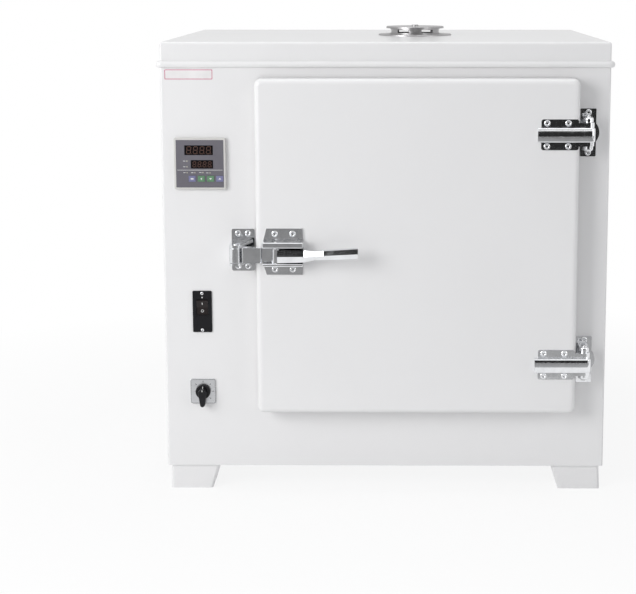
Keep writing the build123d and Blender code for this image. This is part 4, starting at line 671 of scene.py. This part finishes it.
def domed_heads(node, body):
    """A low dome with a round recess on each front screw of a node."""
    for index, (low, high) in enumerate(loose_boxes(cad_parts[node].data)):
        radius = (high.x - low.x) / 2 / MM * DOME_SHARE
        centre = ((low.x + high.x) / 2, low.y, (low.z + high.z) / 2)
        profile = (
            (radius, -0.2),
            (radius, DOME_HEIGHT * 0.25),
            (radius * 0.84, DOME_HEIGHT * 0.85),
            (radius * 0.68, DOME_HEIGHT),
            (radius * 0.54, DOME_HEIGHT * 0.8),
            (radius * 0.42, DOME_HEIGHT * 0.25),
            (0, DOME_HEIGHT * 0.1),
        )
        name = f"{node}_dome_{index}"
        lathe(name, profile, centre, TO_FRONT, body, "chrome", 24)


def rear_screws():
    """Pan-head screws round the rear panel, each with a small round recess."""
    low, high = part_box("rear_panel")
    inset = PAN_HEAD_INSET * MM
    profile = (
        (PAN_HEAD_RADIUS, 0),
        (PAN_HEAD_RADIUS, 0.5),
        (PAN_HEAD_RADIUS * 0.86, 1.3),
        (PAN_HEAD_RADIUS * 0.55, 1.9),
        (0.9, PAN_HEAD_HEIGHT),
        (0.7, 1.2),
        (0, 1.0),
    )
    places = []
    for step in range(4):
        x = low.x + inset + (high.x - low.x - 2 * inset) * step / 3
        places += [(x, low.z + inset), (x, high.z - inset)]
    for step in (1, 2):
        z = low.z + inset + (high.z - low.z - 2 * inset) * step / 3
        places += [(low.x + inset, z), (high.x - inset, z)]
    panel = surface_of("rear_panel")
    for index, (x, z) in enumerate(places):
        y = panel.ray_cast(Vector((x, 2, z)), Vector(TO_FRONT))[0].y
        name = f"rear_screw_{index}"
        lathe(name, profile, (x, y, z), TO_REAR, "cabinet", "steel_screw", 24)


# Stage, light and camera

def camera_white(tree, plain, white, share=None):
    """Mixes a shader with white for rays from the camera, mirrors and glass; returns the mix."""
    path = tree.nodes.new("ShaderNodeLightPath")
    with_gloss = tree.nodes.new("ShaderNodeMath")
    with_gloss.operation = "ADD"
    tree.links.new(path.outputs["Is Camera Ray"], with_gloss.inputs[0])
    tree.links.new(path.outputs["Is Glossy Ray"], with_gloss.inputs[1])
    with_glass = tree.nodes.new("ShaderNodeMath")
    with_glass.operation = "ADD"
    with_glass.use_clamp = True
    tree.links.new(with_gloss.outputs["Value"], with_glass.inputs[0])
    tree.links.new(path.outputs["Is Transmission Ray"], with_glass.inputs[1])
    amount = tree.nodes.new("ShaderNodeMath")
    amount.operation = "MULTIPLY"
    amount.inputs[1].default_value = 1.0
    tree.links.new(with_glass.outputs["Value"], amount.inputs[0])
    if share:
        tree.links.new(share, amount.inputs[1])
    mix = tree.nodes.new("ShaderNodeMixShader")
    tree.links.new(amount.outputs["Value"], mix.inputs["Fac"])
    tree.links.new(plain, mix.inputs[1])
    tree.links.new(white, mix.inputs[2])
    return mix.outputs["Shader"]


def make_world():
    """Even pale light all round, and white where it is seen."""
    world = bpy.data.worlds.new("studio")
    bpy.context.scene.world = world
    world.use_nodes = True
    tree = world.node_tree
    ambient = tree.nodes["Background"]
    ambient.inputs["Color"].default_value = (0.95, 0.97, 1.0, 1)
    ambient.inputs["Strength"].default_value = AMBIENT
    white = tree.nodes.new("ShaderNodeBackground")
    white.inputs["Color"].default_value = (1, 1, 1, 1)
    white.inputs["Strength"].default_value = 1.0
    mixed = camera_white(tree, ambient.outputs["Background"], white.outputs["Background"])
    tree.links.new(mixed, tree.nodes["World Output"].inputs["Surface"])


def make_floor():
    """A wide pale floor that keeps the oven's shadow."""
    shape = bmesh.new()
    sides = ((-1, -1), (1, -1), (1, 1), (-1, 1))
    corners = [shape.verts.new((x * FLOOR_HALF, y * FLOOR_HALF, 0)) for x, y in sides]
    shape.faces.new(corners)
    mesh = bpy.data.meshes.new("floor")
    shape.to_mesh(mesh)
    shape.free()
    floor = bpy.data.objects.new("floor", mesh)
    bpy.context.scene.collection.objects.link(floor)
    material, tree, shader = new_material("floor_white", (0.9, 0.9, 0.9), 0.8)
    shader.inputs["Specular IOR Level"].default_value = 0.1
    colour_between(tree, shader, noise(tree, 2.0), (0.885, 0.885, 0.885), (0.9, 0.9, 0.9))
    glow = tree.nodes.new("ShaderNodeEmission")
    glow.inputs["Strength"].default_value = 1.0
    distance = tree.nodes.new("ShaderNodeVectorMath")
    distance.operation = "LENGTH"
    tree.links.new(stretched_place(tree), distance.inputs[0])
    fade = tree.nodes.new("ShaderNodeMapRange")
    fade.inputs["From Min"].default_value = FLOOR_FADE_START
    fade.inputs["From Max"].default_value = FLOOR_FADE_END
    fade.inputs["To Min"].default_value = FLOOR_GLOW_NEAR
    fade.inputs["To Max"].default_value = FLOOR_GLOW_FAR
    tree.links.new(distance.outputs["Value"], fade.inputs["Value"])
    share = fade.outputs["Result"]
    mixed = camera_white(tree, shader.outputs["BSDF"], glow.outputs["Emission"], share)
    tree.links.new(mixed, tree.nodes["Material Output"].inputs["Surface"])
    floor.data.materials.append(material)


def face_point(thing, place, target):
    """Puts a lamp or card at a place, turned towards a point."""
    thing.location = place
    thing.rotation_mode = "QUATERNION"
    thing.rotation_quaternion = (Vector(target) - Vector(place)).to_track_quat("-Z", "Y")


def area_light(name, place, target, power, width, height):
    """A soft box that faces a point."""
    data = bpy.data.lights.new(name, "AREA")
    data.shape = "RECTANGLE"
    data.size = width
    data.size_y = height
    data.energy = power
    light = bpy.data.objects.new(name, data)
    face_point(light, place, target)
    bpy.context.scene.collection.objects.link(light)


def make_lights():
    """A large soft box at the left, a weak one at the right and one overhead."""
    middle = (0.0, -0.2, 0.45)
    area_light("key", (-2.3, -2.4, 1.5), middle, KEY_POWER, 1.8, 1.8)
    area_light("fill", (2.6, -2.0, 1.2), middle, FILL_POWER, 1.6, 1.6)
    area_light("top", (0.0, 0.1, 3.0), (0.0, 0.0, 0.8), TOP_POWER, 2.2, 2.2)


def mirror_card(name, place, target, width, height, low, high):
    """A glowing grey card, hidden from the camera, that only glossy rays meet.

    Its grey runs from low to high along its height. It takes the white floor's or world's place
    in what metal mirrors.
    """
    shape = bmesh.new()
    bmesh.ops.create_grid(shape, x_segments=2, y_segments=2, size=0.5)
    mesh = bpy.data.meshes.new(name)
    shape.to_mesh(mesh)
    shape.free()
    card = bpy.data.objects.new(name, mesh)
    bpy.context.scene.collection.objects.link(card)
    card.scale = (width, height, 1)
    face_point(card, place, target)
    card.visible_camera = False
    card.visible_diffuse = False
    card.visible_shadow = False
    material = bpy.data.materials.new(name)
    material.use_nodes = True
    tree = material.node_tree
    tree.nodes.remove(tree.nodes["Principled BSDF"])
    glow = tree.nodes.new("ShaderNodeEmission")
    axes = tree.nodes.new("ShaderNodeSeparateXYZ")
    tree.links.new(stretched_place(tree), axes.inputs["Vector"])
    ramp = tree.nodes.new("ShaderNodeMapRange")
    ramp.inputs["From Min"].default_value = -0.5
    ramp.inputs["From Max"].default_value = 0.5
    ramp.inputs["To Min"].default_value = low
    ramp.inputs["To Max"].default_value = high
    tree.links.new(axes.outputs["Y"], ramp.inputs["Value"])
    tree.links.new(ramp.outputs["Result"], glow.inputs["Color"])
    tree.links.new(glow.outputs["Emission"], tree.nodes["Material Output"].inputs["Surface"])
    card.data.materials.append(material)


def make_cards():
    """What bright metal mirrors: cards in front, low and high, on the floor, behind and right."""
    mirror_card("card_low", (0.4, -4.2, 0.60), (0.4, 0, 0.60), 4.4, 1.14, 0.02, 0.04)
    mirror_card("card_high", (0.2, -3.9, 2.0), (0.1, -0.3, 0.5), 5.0, 1.1, 0.03, 0.05)
    mirror_card("card_floor", (0.0, -2.7, 0.004), (0.0, -2.7, -1), 5.0, 3.0, 0.22, 0.42)
    mirror_card("card_back", (0.0, 4.0, 1.6), (0.0, 0, 1.0), 5.0, 1.3, 0.80, 0.62)
    mirror_card("card_right", (3.2, -1.6, 0.6), (0.1, -0.3, 0.5), 0.9, 2.4, 0.04, 0.04)


def make_camera():
    """The photograph's view: from the front, a little above the middle of the oven."""
    data = bpy.data.cameras.new("camera")
    data.sensor_width = SENSOR_WIDTH
    data.lens = FOCAL_PIXELS * SENSOR_WIDTH / IMAGE_WIDTH
    data.shift_x, data.shift_y = CAMERA_SHIFT
    data.dof.use_dof = False
    data.clip_end = 60.0
    camera = bpy.data.objects.new("camera", data)
    camera.location = CAMERA_PLACE
    camera.rotation_euler = (math.pi / 2 + CAMERA_PITCH, 0, -CAMERA_YAW)
    bpy.context.scene.collection.objects.link(camera)
    bpy.context.scene.camera = camera


dress_nodes()
controller_details()
breaker_details()
selector_details()
bare_plate()
domed_heads("cabinet_screws", "cabinet")
domed_heads("door_screws", "door")
rear_screws()
make_world()
make_floor()
make_lights()
make_cards()
make_camera()
bpy.context.scene.view_settings.view_transform = "Standard"
